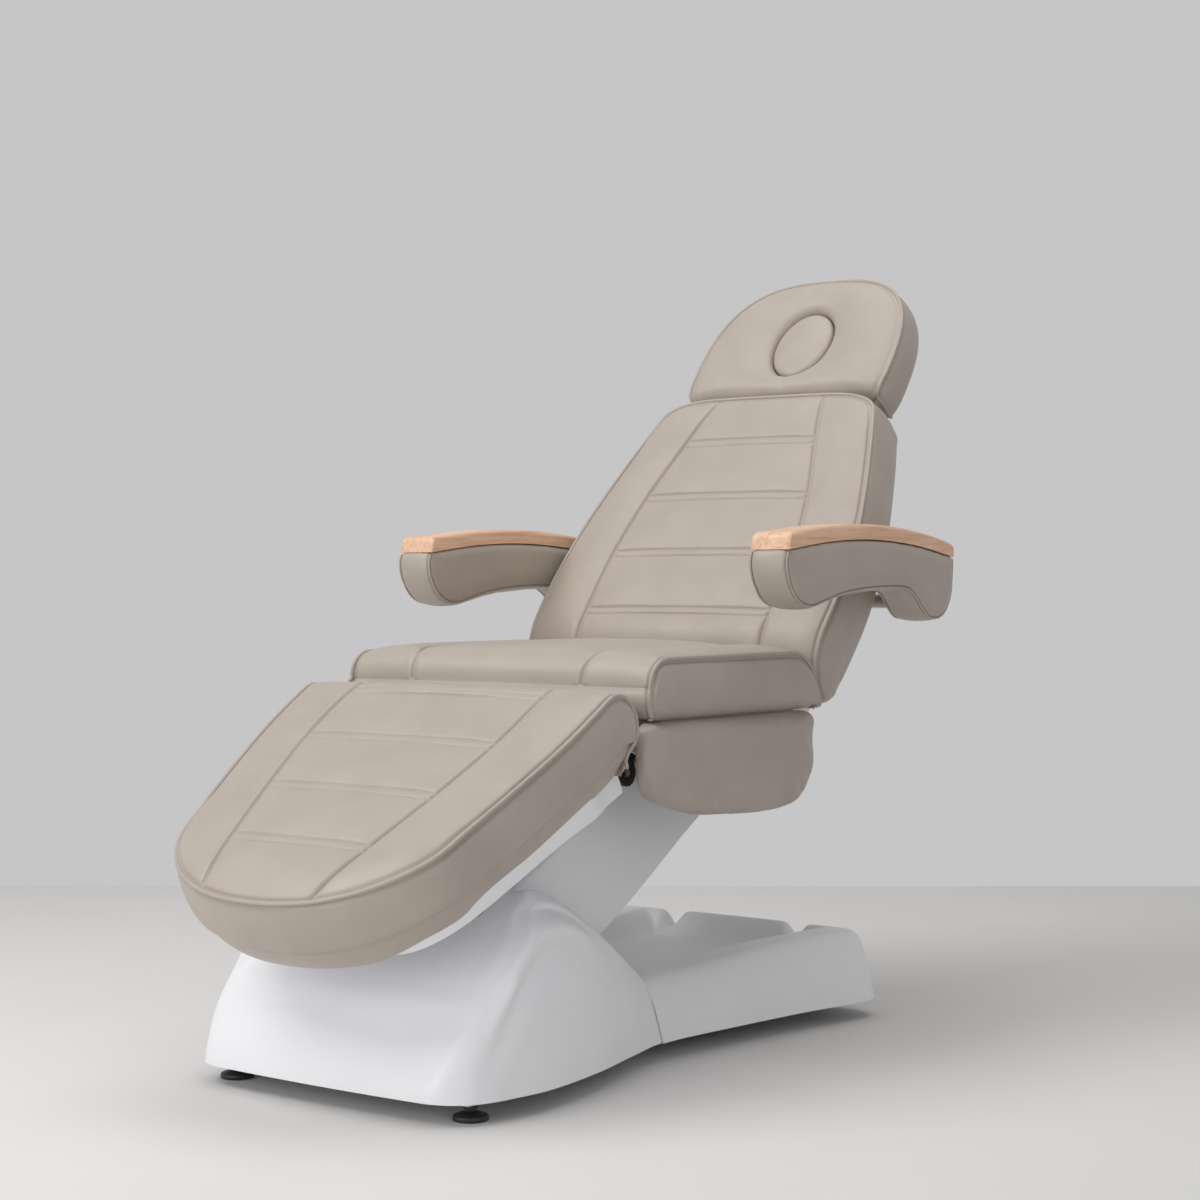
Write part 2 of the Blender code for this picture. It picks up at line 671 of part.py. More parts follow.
def front_cover_height(x, nominal_y, ahead):
    """Height of the front cover: a ramp under the leg rest, between two shoulders with raised lips."""
    across = abs(x)
    edge = smooth_through(COVER_WIDTHS, nominal_y)
    lip = smooth_through(COVER_LIP_X, nominal_y)
    crest = smooth_through(COVER_CRESTS, nominal_y)
    flank = (crest - COVER_BOTTOM) * rounded_wall(edge - across, edge - lip)
    groove = math.exp(-((across - lip - COVER_GROOVE_OFFSET) / COVER_GROOVE_WIDTH) ** 2)
    window = smooth_step(-0.560, -0.470, nominal_y) * (1 - smooth_step(-0.340, -0.180, nominal_y))
    flank -= COVER_GROOVE_DEPTH * groove * window
    ramp = COVER_RAMP_RISE * min(ahead / COVER_RAMP_LENGTH, 1.6) ** 0.62
    blend = 0.020
    mix = smooth_step(-blend, blend, flank - ramp)
    height = flank + (ramp - flank) * mix - blend * mix * (1 - mix) * 0.5
    return COVER_BOTTOM + max(height, 0.0)


def rear_cover_height(x, nominal_y, behind):
    """Height of the rear cover: side ridges round a sunk floor, and a rear lobe between two notches."""
    across = abs(x)
    edge = smooth_through(COVER_WIDTHS, nominal_y) - across
    ridge = smooth_through(COVER_RIDGES, nominal_y) - COVER_FLOOR
    inner = COVER_RIDGE_WIDTH + COVER_RIDGE_FALL
    side = 1 - smooth_step(COVER_RIDGE_WIDTH, inner, edge)
    lobe = 1 - smooth_step(COVER_RIDGE_WIDTH, inner, behind)
    notch = math.exp(-((across - COVER_NOTCH_X) / COVER_NOTCH_WIDTH) ** 2) * lobe
    top = COVER_FLOOR + ridge * max(side, lobe) * (1 - 0.75 * notch)
    wall = rounded_wall(min(edge, behind), COVER_WALL_ROUND)
    return COVER_BOTTOM + (top - COVER_BOTTOM) * wall


def cover_shell(name, grid, skip, frame):
    """An open moulded sheet from a grid of points, thickened inwards."""
    mesh = bpy.data.meshes.new(name)
    work = bmesh.new()
    points = [[work.verts.new(point) for point in row] for row in grid]
    for j in range(len(grid) - 1):
        for i in range(len(grid[0]) - 1):
            if not skip(i, j):
                work.faces.new((points[j][i], points[j][i + 1], points[j + 1][i + 1], points[j + 1][i]))
    loose = [vertex for vertex in work.verts if not vertex.link_faces]
    bmesh.ops.delete(work, geom=loose, context="VERTS")
    work.normal_update()
    work.to_mesh(mesh)
    work.free()
    mesh.shade_smooth()
    item = place(name, mesh, frame, ABS)
    shell = item.modifiers.new("wall", "SOLIDIFY")
    shell.thickness = COVER_WALL
    shell.offset = -1.0
    return item


def mirrored(values):
    return [-value for value in reversed(values)] + [value for value in values if value > 0]


def base_covers():
    inner = [0.0, COVER_SLOT_HALF_WIDTH / 2, COVER_SLOT_HALF_WIDTH]
    shares = [0.10, 0.22, 0.34, 0.46, 0.58, 0.70, 0.82, 0.91, 0.97, 1.0]
    slot_run = COVER_SLOT_FRONT - COVER_FRONT
    run = COVER_SEAM - COVER_FRONT
    ahead_rows = [slot_run * share for share in (0.0, 0.02, 0.07, 0.16, 0.28, 0.42, 0.58, 0.76)]
    rear_rows = [slot_run + (run - slot_run) * step / 9 for step in range(10)]
    grid = []
    for ahead in ahead_rows + rear_rows:
        nominal = COVER_FRONT + ahead
        edge = smooth_through(COVER_WIDTHS, nominal)
        outer = [COVER_SLOT_HALF_WIDTH + (edge - COVER_SLOT_HALF_WIDTH) * share for share in shares]
        bow = max(1 - ahead / slot_run, 0.0) ** 1.5
        row = []
        for x in mirrored(inner + outer):
            y = nominal + COVER_FRONT_BOW * bow * (x / BEAM_LENGTH * 2) ** 2
            row.append((x, y, front_cover_height(x, nominal, ahead)))
        grid.append(row)
    slot_columns = range(len(shares), len(shares) + 2 * (len(inner) - 1))
    slot_start = len(ahead_rows)
    cover_shell("base_front_cover", grid, lambda i, j: i in slot_columns and j >= slot_start, BASE)

    front = COVER_SEAM + GAP
    run = COVER_REAR - front
    rows = [0.0, 0.12, 0.26, 0.40, 0.54, 0.67, 0.76, 0.81, 0.86, 0.91, 0.95, 0.98, 1.0]
    shares = [0.0, 0.22, 0.42, 0.50, 0.56, 0.62, 0.70, 0.80, 0.88, 0.94, 0.98, 1.0]
    grid = []
    for share in rows:
        nominal = front + run * share
        edge = smooth_through(COVER_WIDTHS, nominal)
        row = []
        for x in mirrored([edge * across for across in shares]):
            bow = COVER_REAR_BOW * smooth_step(0.5, 1.0, share) * (x / BEAM_LENGTH * 2) ** 2
            row.append((x, nominal - bow, rear_cover_height(x, nominal, COVER_REAR - nominal)))
        grid.append(row)
    cover_shell("base_rear_cover", grid, lambda i, j: False, BASE)


# Lift arm

def lift_arm():
    ends = ((0.0, 0.0), (ARM_LENGTH, 0.0))
    outline = capsule(*ends, ARM_BEAM_HEIGHT / 2)
    holes = [circle(end, SHAFT_RADIUS + GAP) for end in ends]
    for side, x in (("left", -ARM_BEAM_X), ("right", ARM_BEAM_X)):
        extruded("lift_arm_beam_" + side, [outline] + holes, ARM_BEAM_WIDTH, LIFT, WHITE_STEEL, at=(x, 0, 0))
    inner = ARM_BEAM_X - ARM_BEAM_WIDTH / 2 - GAP
    cross = (ARM_CROSS_ALONG, -ARM_CROSS_BELOW)
    cylinder("lift_arm_cross_tube", (-inner, *cross), (inner, *cross), ARM_CROSS_RADIUS, LIFT, WHITE_STEEL)
    end = ARM_LENGTH - ARM_COVER_END_CLEARANCE
    corner = ARM_COVER_CORNER
    outer = filleted((
        (ARM_COVER_START, -ARM_COVER_BOTTOM, 0.0), (end, -ARM_COVER_BOTTOM, 0.0),
        (end, -ARM_COVER_CORNER, corner), (ARM_COVER_SHOULDER, ARM_COVER_TOP, corner),
        (ARM_COVER_START, ARM_COVER_TOP, corner),
    ))
    cover = extruded_mesh("lift_arm_cover", [outer], 2 * ARM_COVER_HALF_WIDTH, LIFT, ABS)
    wall = ARM_COVER_WALL
    reach = ARM_COVER_WALL * 4
    hollow = filleted((
        (ARM_COVER_START - reach, -ARM_COVER_BOTTOM - reach, 0.0),
        (end + reach, -ARM_COVER_BOTTOM - reach, 0.0),
        (end + reach, ARM_COVER_CORNER, 0.0), (ARM_COVER_SHOULDER, ARM_COVER_TOP - wall, corner),
        (ARM_COVER_START - reach, ARM_COVER_TOP - wall, 0.0),
    ))
    space = ARM_BEAM_X + ARM_BEAM_WIDTH / 2 + GAP
    combine(cover, extruded_mesh("arm_cover_space", [hollow], 2 * space, LIFT, ABS), "DIFFERENCE")


def parallel_link():
    """The bar that keeps the seat level, with a trunnion at each end."""
    outline = capsule((0.0, 0.0), (ARM_LENGTH, 0.0), LINK_WIDTH / 2)
    bar = extruded_mesh("level_link", [outline], LINK_THICKNESS, LINK, BLACK_STEEL, at=(LINK_X, 0, 0))
    half = BRACKET_X + BRACKET_THICKNESS / 2
    for name, y in (("link_lower_trunnion", 0.0), ("link_upper_trunnion", ARM_LENGTH)):
        combine(bar, cylinder(name, (-half, y, 0), (half, y, 0), PIN_RADIUS, LINK, BLACK_STEEL), "UNION")


# Linear actuators, drawn along +Y of their own frame

def actuator_housing(name, frame, x, length, bore_start, motor_up):
    """Tube with an open bore, an end block and a motor beside it."""
    tube = cylinder(name, (x, ACTUATOR_BLOCK / 2, 0), (x, length, 0), ACTUATOR_TUBE_RADIUS, frame,
                    BLACK_PLASTIC)
    rise = ACTUATOR_MOTOR_OFFSET * motor_up
    start = ACTUATOR_BLOCK
    gearbox = box(
        name + "_gearbox",
        (x - ACTUATOR_TUBE_RADIUS * 0.9, start, min(rise, 0) - ACTUATOR_TUBE_RADIUS * 0.6),
        (x + ACTUATOR_TUBE_RADIUS * 0.9, start + ACTUATOR_BLOCK * 1.5,
         max(rise, 0) + ACTUATOR_TUBE_RADIUS * 0.6),
        frame, BLACK_PLASTIC,
    )
    combine(tube, gearbox, "UNION")
    motor = cylinder(
        name + "_motor", (x, start + ACTUATOR_BLOCK, rise), (x, ACTUATOR_MOTOR_END, rise),
        ACTUATOR_MOTOR_RADIUS, frame, BLACK_PLASTIC,
    )
    combine(tube, motor, "UNION")
    bore = cylinder(
        name + "_bore", (x, bore_start, 0), (x, length + ACTUATOR_BLOCK, 0),
        ACTUATOR_ROD_RADIUS + 2 * GAP, frame, BLACK_PLASTIC,
    )
    combine(tube, bore, "DIFFERENCE")
    return tube


def lift_actuator(reach):
    housing = actuator_housing("lift_actuator_housing", LIFT_ACTUATOR, 0.0, LIFT_TUBE_LENGTH,
                               LIFT_BORE_START, 1)
    half = ACTUATOR_BLOCK / 2
    eye = cylinder("lift_actuator_eye", (-half, 0, 0), (half, 0, 0), ACTUATOR_EYE_RADIUS,
                   LIFT_ACTUATOR, BLACK_PLASTIC)
    combine(housing, eye, "UNION")
    end = BRACKET_X + BRACKET_THICKNESS / 2
    trunnion = cylinder("lift_actuator_trunnion", (-end, 0, 0), (end, 0, 0), PIN_RADIUS,
                        LIFT_ACTUATOR, BLACK_PLASTIC)
    combine(housing, trunnion, "UNION")
    inner = ARM_CROSS_RADIUS + LIFT_EYE_CLEARANCE
    outer = inner + LEVER_RIM * 0.8
    rod = cylinder("lift_actuator_rod", (0, LIFT_ROD_START, 0), (0, reach - inner, 0), ACTUATOR_ROD_RADIUS,
                   LIFT_ACTUATOR, BARE_STEEL)
    ring = cylinder("lift_rod_ring", (-half, reach, 0), (half, reach, 0), outer, LIFT_ACTUATOR, BARE_STEEL)
    combine(rod, ring, "UNION")
    opening = cylinder("lift_rod_opening", (-2 * half, reach, 0), (2 * half, reach, 0), inner,
                       LIFT_ACTUATOR, BARE_STEEL)
    combine(rod, opening, "DIFFERENCE")


def lever_actuator(name, frame, x, length, bore_start, rod_start, reach, block_up):
    """A foot-mounted actuator whose cross pin works in the slot of a lever."""
    housing = actuator_housing(name + "_housing", frame, x, length, bore_start, -block_up)
    half = ACTUATOR_BLOCK / 2
    top = ACTUATOR_BELOW_FRAME - GAP
    low, high = sorted((-half * block_up, top * block_up))
    foot = box(name + "_foot", (x - half, -half, low), (x + half, 2 * half, high), frame, BLACK_PLASTIC)
    combine(housing, foot, "UNION")
    rod = cylinder(name + "_rod", (x, rod_start, 0), (x, reach + LEVER_PIN_RADIUS, 0), ACTUATOR_ROD_RADIUS,
                   frame, BARE_STEEL)
    side = math.copysign(1.0, x)
    pin_end = side * (MOVING_PLATE_X + HINGE_PLATE_THICKNESS / 2)
    pin = cylinder(name + "_cross_pin", (x, reach, 0), (pin_end, reach, 0), LEVER_PIN_RADIUS, frame,
                   BARE_STEEL)
    combine(rod, pin, "UNION")


# Seat

def seat_frame():
    leg = (LEG_HINGE_Y, LEG_HINGE_Z)
    back = (BACK_HINGE_Y, BACK_HINGE_Z)
    radius = HINGE_END_RADIUS
    low = SEAT_CROSS_BOTTOM
    outline = filleted((
        (leg[0] + SEAT_PLATE_TAPER, low, radius), (back[0] - SEAT_PLATE_TAPER, low, radius),
        (back[0] + radius, back[1] - radius, radius), (back[0] + radius, SEAT_BOARD_TOP, radius * 0.9),
        (leg[0] - radius, SEAT_BOARD_TOP, radius * 0.9), (leg[0] - radius, leg[1] - radius, radius),
    ))
    holes = [circle(hinge, HINGE_PIN_RADIUS + GAP) for hinge in (leg, back)]
    for side, x in (("left", -SEAT_PLATE_X), ("right", SEAT_PLATE_X)):
        rail = extruded_mesh("seat_side_rail_" + side, [outline] + holes, HINGE_PLATE_THICKNESS, SEAT,
                             WHITE_STEEL, at=(x, 0, 0))
        sign = math.copysign(1.0, x)
        for name, operation, start, end, wall in (
            ("seat_tube_", "UNION", SEAT_RAIL_START, SEAT_RAIL_END, 0.0),
            ("seat_tube_space_", "DIFFERENCE", SEAT_RAIL_START - TUBE_WALL, SEAT_RAIL_END + TUBE_WALL,
             TUBE_WALL),
        ):
            inner = SEAT_PLATE_OUTER if wall else SEAT_PLATE_X
            near, far = sorted((sign * inner, sign * (SEAT_RAIL_OUTER - wall)))
            tube = box(name + side, (near, start, low + wall), (far, end, SEAT_BOARD_TOP - wall), SEAT,
                       WHITE_STEEL)
            combine(rail, tube, operation)
    for name, hinge in (("leg_hinge_rod", leg), ("back_hinge_rod", back)):
        end = SEAT_PLATE_OUTER
        cylinder(name, (-end, *hinge), (end, *hinge), HINGE_PIN_RADIUS, SEAT, BARE_STEEL)
    half_length = SEAT_PLATE_INNER - GAP
    for name, y in (("seat_cross_front", SEAT_CROSS_FRONT_Y), ("seat_cross_rear", SEAT_CROSS_REAR_Y)):
        tube_across(name, y, SEAT_CROSS_WIDTH, SEAT_CROSS_BOTTOM, SEAT_CROSS_TOP, half_length, SEAT)
    rear = SEAT_CROSS_REAR_Y - SEAT_CROSS_WIDTH / 2 - GAP
    radius = BRACKET_END_RADIUS
    outline = filleted((
        (-radius, -radius, radius * 0.9), (radius, -radius, radius * 0.9),
        (rear, SEAT_CROSS_BOTTOM, 0.0), (rear, SEAT_CROSS_TOP, 0.0),
        (SEAT_BRACKET_FRONT, SEAT_CROSS_TOP, 0.0), (SEAT_BRACKET_FRONT, SEAT_CROSS_BOTTOM, 0.0),
    ))
    holes = [circle((0.0, 0.0), SHAFT_RADIUS + GAP), circle((0.0, LINK_RISE), PIN_RADIUS + GAP)]
    for side, x in (("left", -BRACKET_X), ("right", BRACKET_X)):
        extruded("seat_bracket_" + side, [outline] + holes, BRACKET_THICKNESS, SEAT, WHITE_STEEL,
                 at=(x, 0, 0))
    shaft_end = ARM_BEAM_X + ARM_BEAM_WIDTH / 2
    cylinder("arm_upper_shaft", (-shaft_end, 0, 0), (shaft_end, 0, 0), SHAFT_RADIUS, SEAT, BARE_STEEL)
    half = SEAT_PLATE_INNER - GAP
    front = LEG_HINGE_Y + HINGE_END_RADIUS + BOARD_INSET
    rear = SEAT_REAR - BOARD_INSET
    corners = ((-half, front, 0.01), (half, front, 0.01), (half, rear, 0.01), (-half, rear, 0.01))
    outline = filleted(corners, 3)
    middle = (0, 0, (SEAT_BOARD_TOP + SEAT_BOARD_BOTTOM) / 2)
    extruded("seat_board", [outline], BOARD_THICKNESS, SEAT, PLYWOOD, PLANE_XY, middle)


def side_panels():
    """The padded panels that hang on the seat's side plates."""
    front, rear = SIDE_CUSHION_FRONT, SIDE_CUSHION_REAR
    low, high = SIDE_CUSHION_BOTTOM, SIDE_CUSHION_TOP
    big, small = SIDE_CUSHION_ROUND, SIDE_CUSHION_TOP_ROUND
    belly = SIDE_CUSHION_BELLY_ROUND
    corners = (
        (front, low + SIDE_CUSHION_FRONT_RISE, SIDE_CUSHION_FRONT_ROUND),
        (front + 0.30 * (rear - front), low + SIDE_CUSHION_MIDDLE_RISE, belly),
        (front + 0.66 * (rear - front), low, belly), (rear, low + 0.6 * SIDE_CUSHION_MIDDLE_RISE, big),
        (rear, high, small), (front, high, small),
    )
    outline = filleted(corners, 5)
    start = SEAT_RAIL_OUTER + GAP
    end = SIDE_CUSHION_OUTER_X
    for side, sign in (("left", -1), ("right", 1)):
        rings = []
        for inset, x in (
            (BOTTOM_DRAW, start), (0.0, start + 0.6 * BOTTOM_DRAW), (0.0, end - 1.8 * BOTTOM_DRAW),
            (0.3 * BOTTOM_DRAW, end - BOTTOM_DRAW), (0.9 * BOTTOM_DRAW, end - 0.35 * BOTTOM_DRAW),
            (1.8 * BOTTOM_DRAW, end),
        ):
            rings.append([(sign * x, y, z) for y, z in offset_outline(outline, -inset)])
        ring_loft("side_cushion_" + side, rings, SEAT, LEATHER)


# Upholstery on a grid

def groove_rows(start, end, seams, start_round, end_round):
    """Rows along a cushion: its rounded ends, both sides of each seam, and the middle of each field."""
    shares = (0.0, 0.10, 0.35, 0.70, 1.0)
    rows = [start + start_round * share for share in shares] + [end - end_round * share for share in shares]
    for seam in seams:
        rows += [seam - SEAM_HALF_WIDTH, seam, seam + SEAM_HALF_WIDTH]
    rows = sorted(row for row in rows if start <= row <= end)
    filled = []
    for first, second in zip(rows, rows[1:]):
        filled.append(first)
        if second - first > 4 * SEAM_HALF_WIDTH:
            filled.append((first + second) / 2)
    return filled + [rows[-1]]


def field_puff(along, seams, start, end):
    """0 on a seam and 1 in the middle of the field between two seams."""
    marks = [start] + list(seams) + [end]
    for first, second in zip(marks, marks[1:]):
        if first <= along <= second:
            share = 2 * (along - first) / (second - first) - 1
            return 1 - abs(share) ** 6
    return 0.0


def grid_cushion(name, frame, start, end, sign, half_width, seam, stitches, height, thickness, bow, face,
                 start_round, end_round, heel=0.0):
    """A sewn cushion with piped edges: two long seams, cross stitches, drawn-in sides and a crown.

    Widths are functions of the distance along the cushion, and face gives the height of its piped edge.
    """
    rows = groove_rows(start, end, stitches, start_round, end_round)
    seam_share = SEAM_HALF_WIDTH / (half_width((start + end) / 2) - seam((start + end) / 2))
    half = [0.0, 0.5, 1 - seam_share, 1.0, 1 + seam_share, 1.5, 1.85, 2.0]
    columns = mirrored(half)
    last_mark = stitches[-1] if stitches else (start + end) / 2
    depth, power, root = bow
    edge_mark = last_mark - 1.1 * depth
    top = []
    for along in rows:
        line = []
        inner = seam(along)
        outer = half_width(along - depth * smooth_step(edge_mark, end, along))
        for column in columns:
            across = abs(column)
            x = inner * across if across <= 1 else inner + (outer - inner) * (across - 1)
            share = x / outer
            mark = last_mark + (edge_mark - last_mark) * smooth_step(1.0, 2.0, across)
            setback = depth * smooth_step(mark, end, along) * (1 - max(1 - share ** power, 0.0) ** (1 / root))
            mid = (1 - across ** 6) * field_puff(along, stitches, start, end) if across <= 1 else 0.0
            edge_field = 1 - abs(2 * (across - 1) - 1) ** 4 if across > 1 else 0.0
            ends = 1 - abs(2 * (along - start) / (end - start) - 1) ** 8
            crown = CROWN * (1 - share ** 4) * ends + PUFF * ends * (mid + edge_field)
            line.append((math.copysign(x, column), sign * (along - setback), height + face(along) + crown))
        top.append(line)
    skin_cushion(name, frame, top, height - thickness, start, sign, heel)


def skin_cushion(name, frame, top, floor, start, sign, heel):
    """Close a grid of top points with drawn-in sides and a flat underside, set back by heel at its start."""
    mesh = bpy.data.meshes.new(name)
    work = bmesh.new()
    points = [[work.verts.new(point) for point in row] for row in top]
    for lower, upper in zip(points, points[1:]):
        for index in range(len(lower) - 1):
            work.faces.new((lower[index], lower[index + 1], upper[index + 1], upper[index]))
    rim = points[0] + [row[-1] for row in points[1:]]
    rim += points[-1][-2::-1] + [row[0] for row in points[-2:0:-1]]
    plan = [(vertex.co.x, vertex.co.y) for vertex in rim]
    area = sum(a[0] * b[1] - b[0] * a[1] for a, b in zip(plan, plan[1:] + plan[:1]))
    outwards = 1.0 if area > 0 else -1.0
    last = rim
    for offset, share in ((-PIPING_DRAW, 0.10), (SIDE_BULGE, 0.45), (0.0, 0.85), (-BOTTOM_DRAW, 1.0)):
        moved = offset_outline(plan, offset * outwards)
        ring = []
        for (x, y), edge in zip(moved, rim):
            if heel:
                near = 1 - smooth_step(0.0, 2.5 * heel, sign * edge.co.y - start)
                y += sign * heel * near * share ** 1.6
            ring.append(work.verts.new((x, y, edge.co.z + (floor - edge.co.z) * share)))
        for index in range(len(ring)):
            following = (index + 1) % len(ring)
            work.faces.new((last[index], last[following], ring[following], ring[index]))
        last = ring
    work.faces.new(last)
    bmesh.ops.recalc_face_normals(work, faces=work.faces)
    work.to_mesh(mesh)
    work.free()
    mesh.shade_smooth()
    mesh.set_sharp_from_angle(angle=math.radians(50))
    place(name, mesh, frame, LEATHER)


def seat_cushion():
    def edge_height(along):
        drop = 0.0
        for depth, radius in ((along - SEAT_FRONT, SEAT_EDGE_ROUND), (SEAT_REAR - along, SEAT_REAR_ROUND)):
            share = max(1 - depth / radius, 0.0)
            drop += radius * (1 - math.sqrt(max(1 - share ** 2, 0.0)))
        return -drop

    middle = (SEAT_FRONT + SEAT_REAR) / 2
    length = (SEAT_REAR - SEAT_FRONT) / 2

    def seam(along):
        return SEAT_SEAM_X * (1 - 0.12 * ((along - middle) / length) ** 2)

    grid_cushion("seat_cushion", SEAT, SEAT_FRONT, SEAT_REAR, 1, lambda along: SEAT_HALF_WIDTH, seam, (),
                 SEAT_TOP, SEAT_CUSHION_HEIGHT, STRAIGHT_END, edge_height, SEAT_EDGE_ROUND, SEAT_REAR_ROUND)


# Leg rest

def leg_rest():
    stitches = [LEG_STITCH_FIRST + LEG_STITCH_PITCH * index for index in range(4)]
    grid_cushion("leg_cushion", LEG, LEG_START, LEG_END, -1,
                 lambda along: smooth_through(LEG_WIDTHS, along),
                 lambda along: smooth_through(LEG_SEAMS, along),
                 stitches, LEG_FACE, LEG_CUSHION_THICKNESS, (LEG_END_BOW, *ROUND_TOE), lambda along: 0.0,
                 LEG_EDGE_ROUND, LEG_EDGE_ROUND, LEG_HEEL)
    toe = LEG_END - LEG_BOARD_TOE_INSET
    start_width = LEG_PAN_HALF_WIDTH + LEG_BOARD_LIP
    toe_width = smooth_through(LEG_WIDTHS, toe) - LEG_BOARD_TOE_DRAW
    outline = filleted((
        (-start_width, -LEG_BOARD_START, LEG_BOARD_ROUND), (-toe_width, -toe, LEG_BOARD_TOE_ROUND),
        (toe_width, -toe, LEG_BOARD_TOE_ROUND), (start_width, -LEG_BOARD_START, LEG_BOARD_ROUND),
    ))
    middle = (0, 0, (LEG_BOARD_TOP + LEG_BOARD_BOTTOM) / 2)
    extruded("leg_board", [outline], LEG_BOARD_THICKNESS, LEG, PLYWOOD, PLANE_XY, middle)

    top = LEG_BOARD_BOTTOM - GAP

    def wedge(inset_by, lift, overrun):
        """Rings of the pan from its hinge end to its toe."""
        rings = []
        for along, half, depth in (
            (LEG_PAN_START - overrun, LEG_PAN_HALF_WIDTH, LEG_PAN_DEPTH * 0.80),
            (LEG_PAN_START + 0.030 - overrun, LEG_PAN_HALF_WIDTH, LEG_PAN_DEPTH),
            (LEG_PAN_END - 0.090, LEG_PAN_TOE_HALF_WIDTH + 0.022, LEG_PAN_TOE_DEPTH + 0.020),
            (LEG_PAN_END - inset_by, LEG_PAN_TOE_HALF_WIDTH - 0.050, LEG_PAN_TOE_DEPTH),
        ):
            wide = half - inset_by
            low = top - depth + inset_by
            corners = ((-wide, top + lift, 0), (-wide, low, 0.008), (wide, low, 0.008), (wide, top + lift, 0))
            ring = filleted(corners, 2)
            rings.append([(x, -along, z) for x, z in ring])
        return rings

    pan = ring_loft("leg_pan", wedge(0.0, 0.0, 0.0), LEG, ABS)
    space = ring_loft("leg_pan_space", wedge(LEG_PAN_WALL, LEG_PAN_WALL, 0.020), LEG, ABS)
    combine(pan, space, "DIFFERENCE")
    lever_plates("leg_hinge_plate_", LEG, LEG_DROP, LEG_HINGE_Z - ACTUATOR_LINE, -1, LEG_PLATE_LENGTH, top,
                 LEG_BOARD_START, BLACK_STEEL)


def lever_plates(name, frame, tilt, drop, sign, length, top, first, surface, boss=None):
    """Hinge plates under a board, each with a lever whose radial slot takes an actuator's pin.

    tilt is the rest's slope, which its travel takes out, so the lever leans half of it from straight down
    at both ends of the travel. drop is the pin line's depth below the hinge.
    """
    lean = tilt / 2
    heading = Vector((math.sin(lean - tilt), -math.cos(lean - tilt)))
    slot_half = LEVER_PIN_RADIUS + LEVER_SLOT_CLEARANCE
    start = tuple(heading * drop)
    stop = tuple(heading * (drop / math.cos(lean)))
    shank = capsule((0.0, 0.0), start, HINGE_END_RADIUS * 0.9)
    lever = capsule(start, stop, slot_half + LEVER_RIM)
    bar = [
        (sign * first, top - HINGE_PLATE_WIDTH), (sign * length, top - HINGE_PLATE_WIDTH * 0.65),
        (sign * length, top), (sign * first, top),
    ]
    neck_end = (sign * (first + HINGE_END_RADIUS), top - HINGE_PLATE_WIDTH * 0.8)
    neck = capsule((0.0, 0.0), neck_end, HINGE_END_RADIUS)
    slot = capsule(start, stop, slot_half)
    joined = [("neck", neck), ("shank", shank), ("lever", lever)]
    cut = [("slot", slot), ("hole", circle((0, 0), HINGE_PIN_RADIUS + GAP))]
    if boss:
        joined.append(("boss", capsule(boss, (boss[0], top - AXLE_BOSS_RADIUS), AXLE_BOSS_RADIUS)))
        cut.append(("bearing", circle(boss, AXLE_RADIUS + GAP)))
    for side, x in (("left", -MOVING_PLATE_X), ("right", MOVING_PLATE_X)):
        at = (x, 0, 0)
        thickness = HINGE_PLATE_THICKNESS
        plate = extruded_mesh(name + side, [bar], thickness, frame, surface, at=at)
        for part, outline in joined:
            piece = extruded_mesh(name + part + side, [outline], thickness, frame, surface, at=at)
            combine(plate, piece, "UNION")
        for part, outline in cut:
            cutter = extruded_mesh(name + part + side, [outline], 2 * thickness, frame, surface, at=at)
            combine(plate, cutter, "DIFFERENCE")


# Backrest

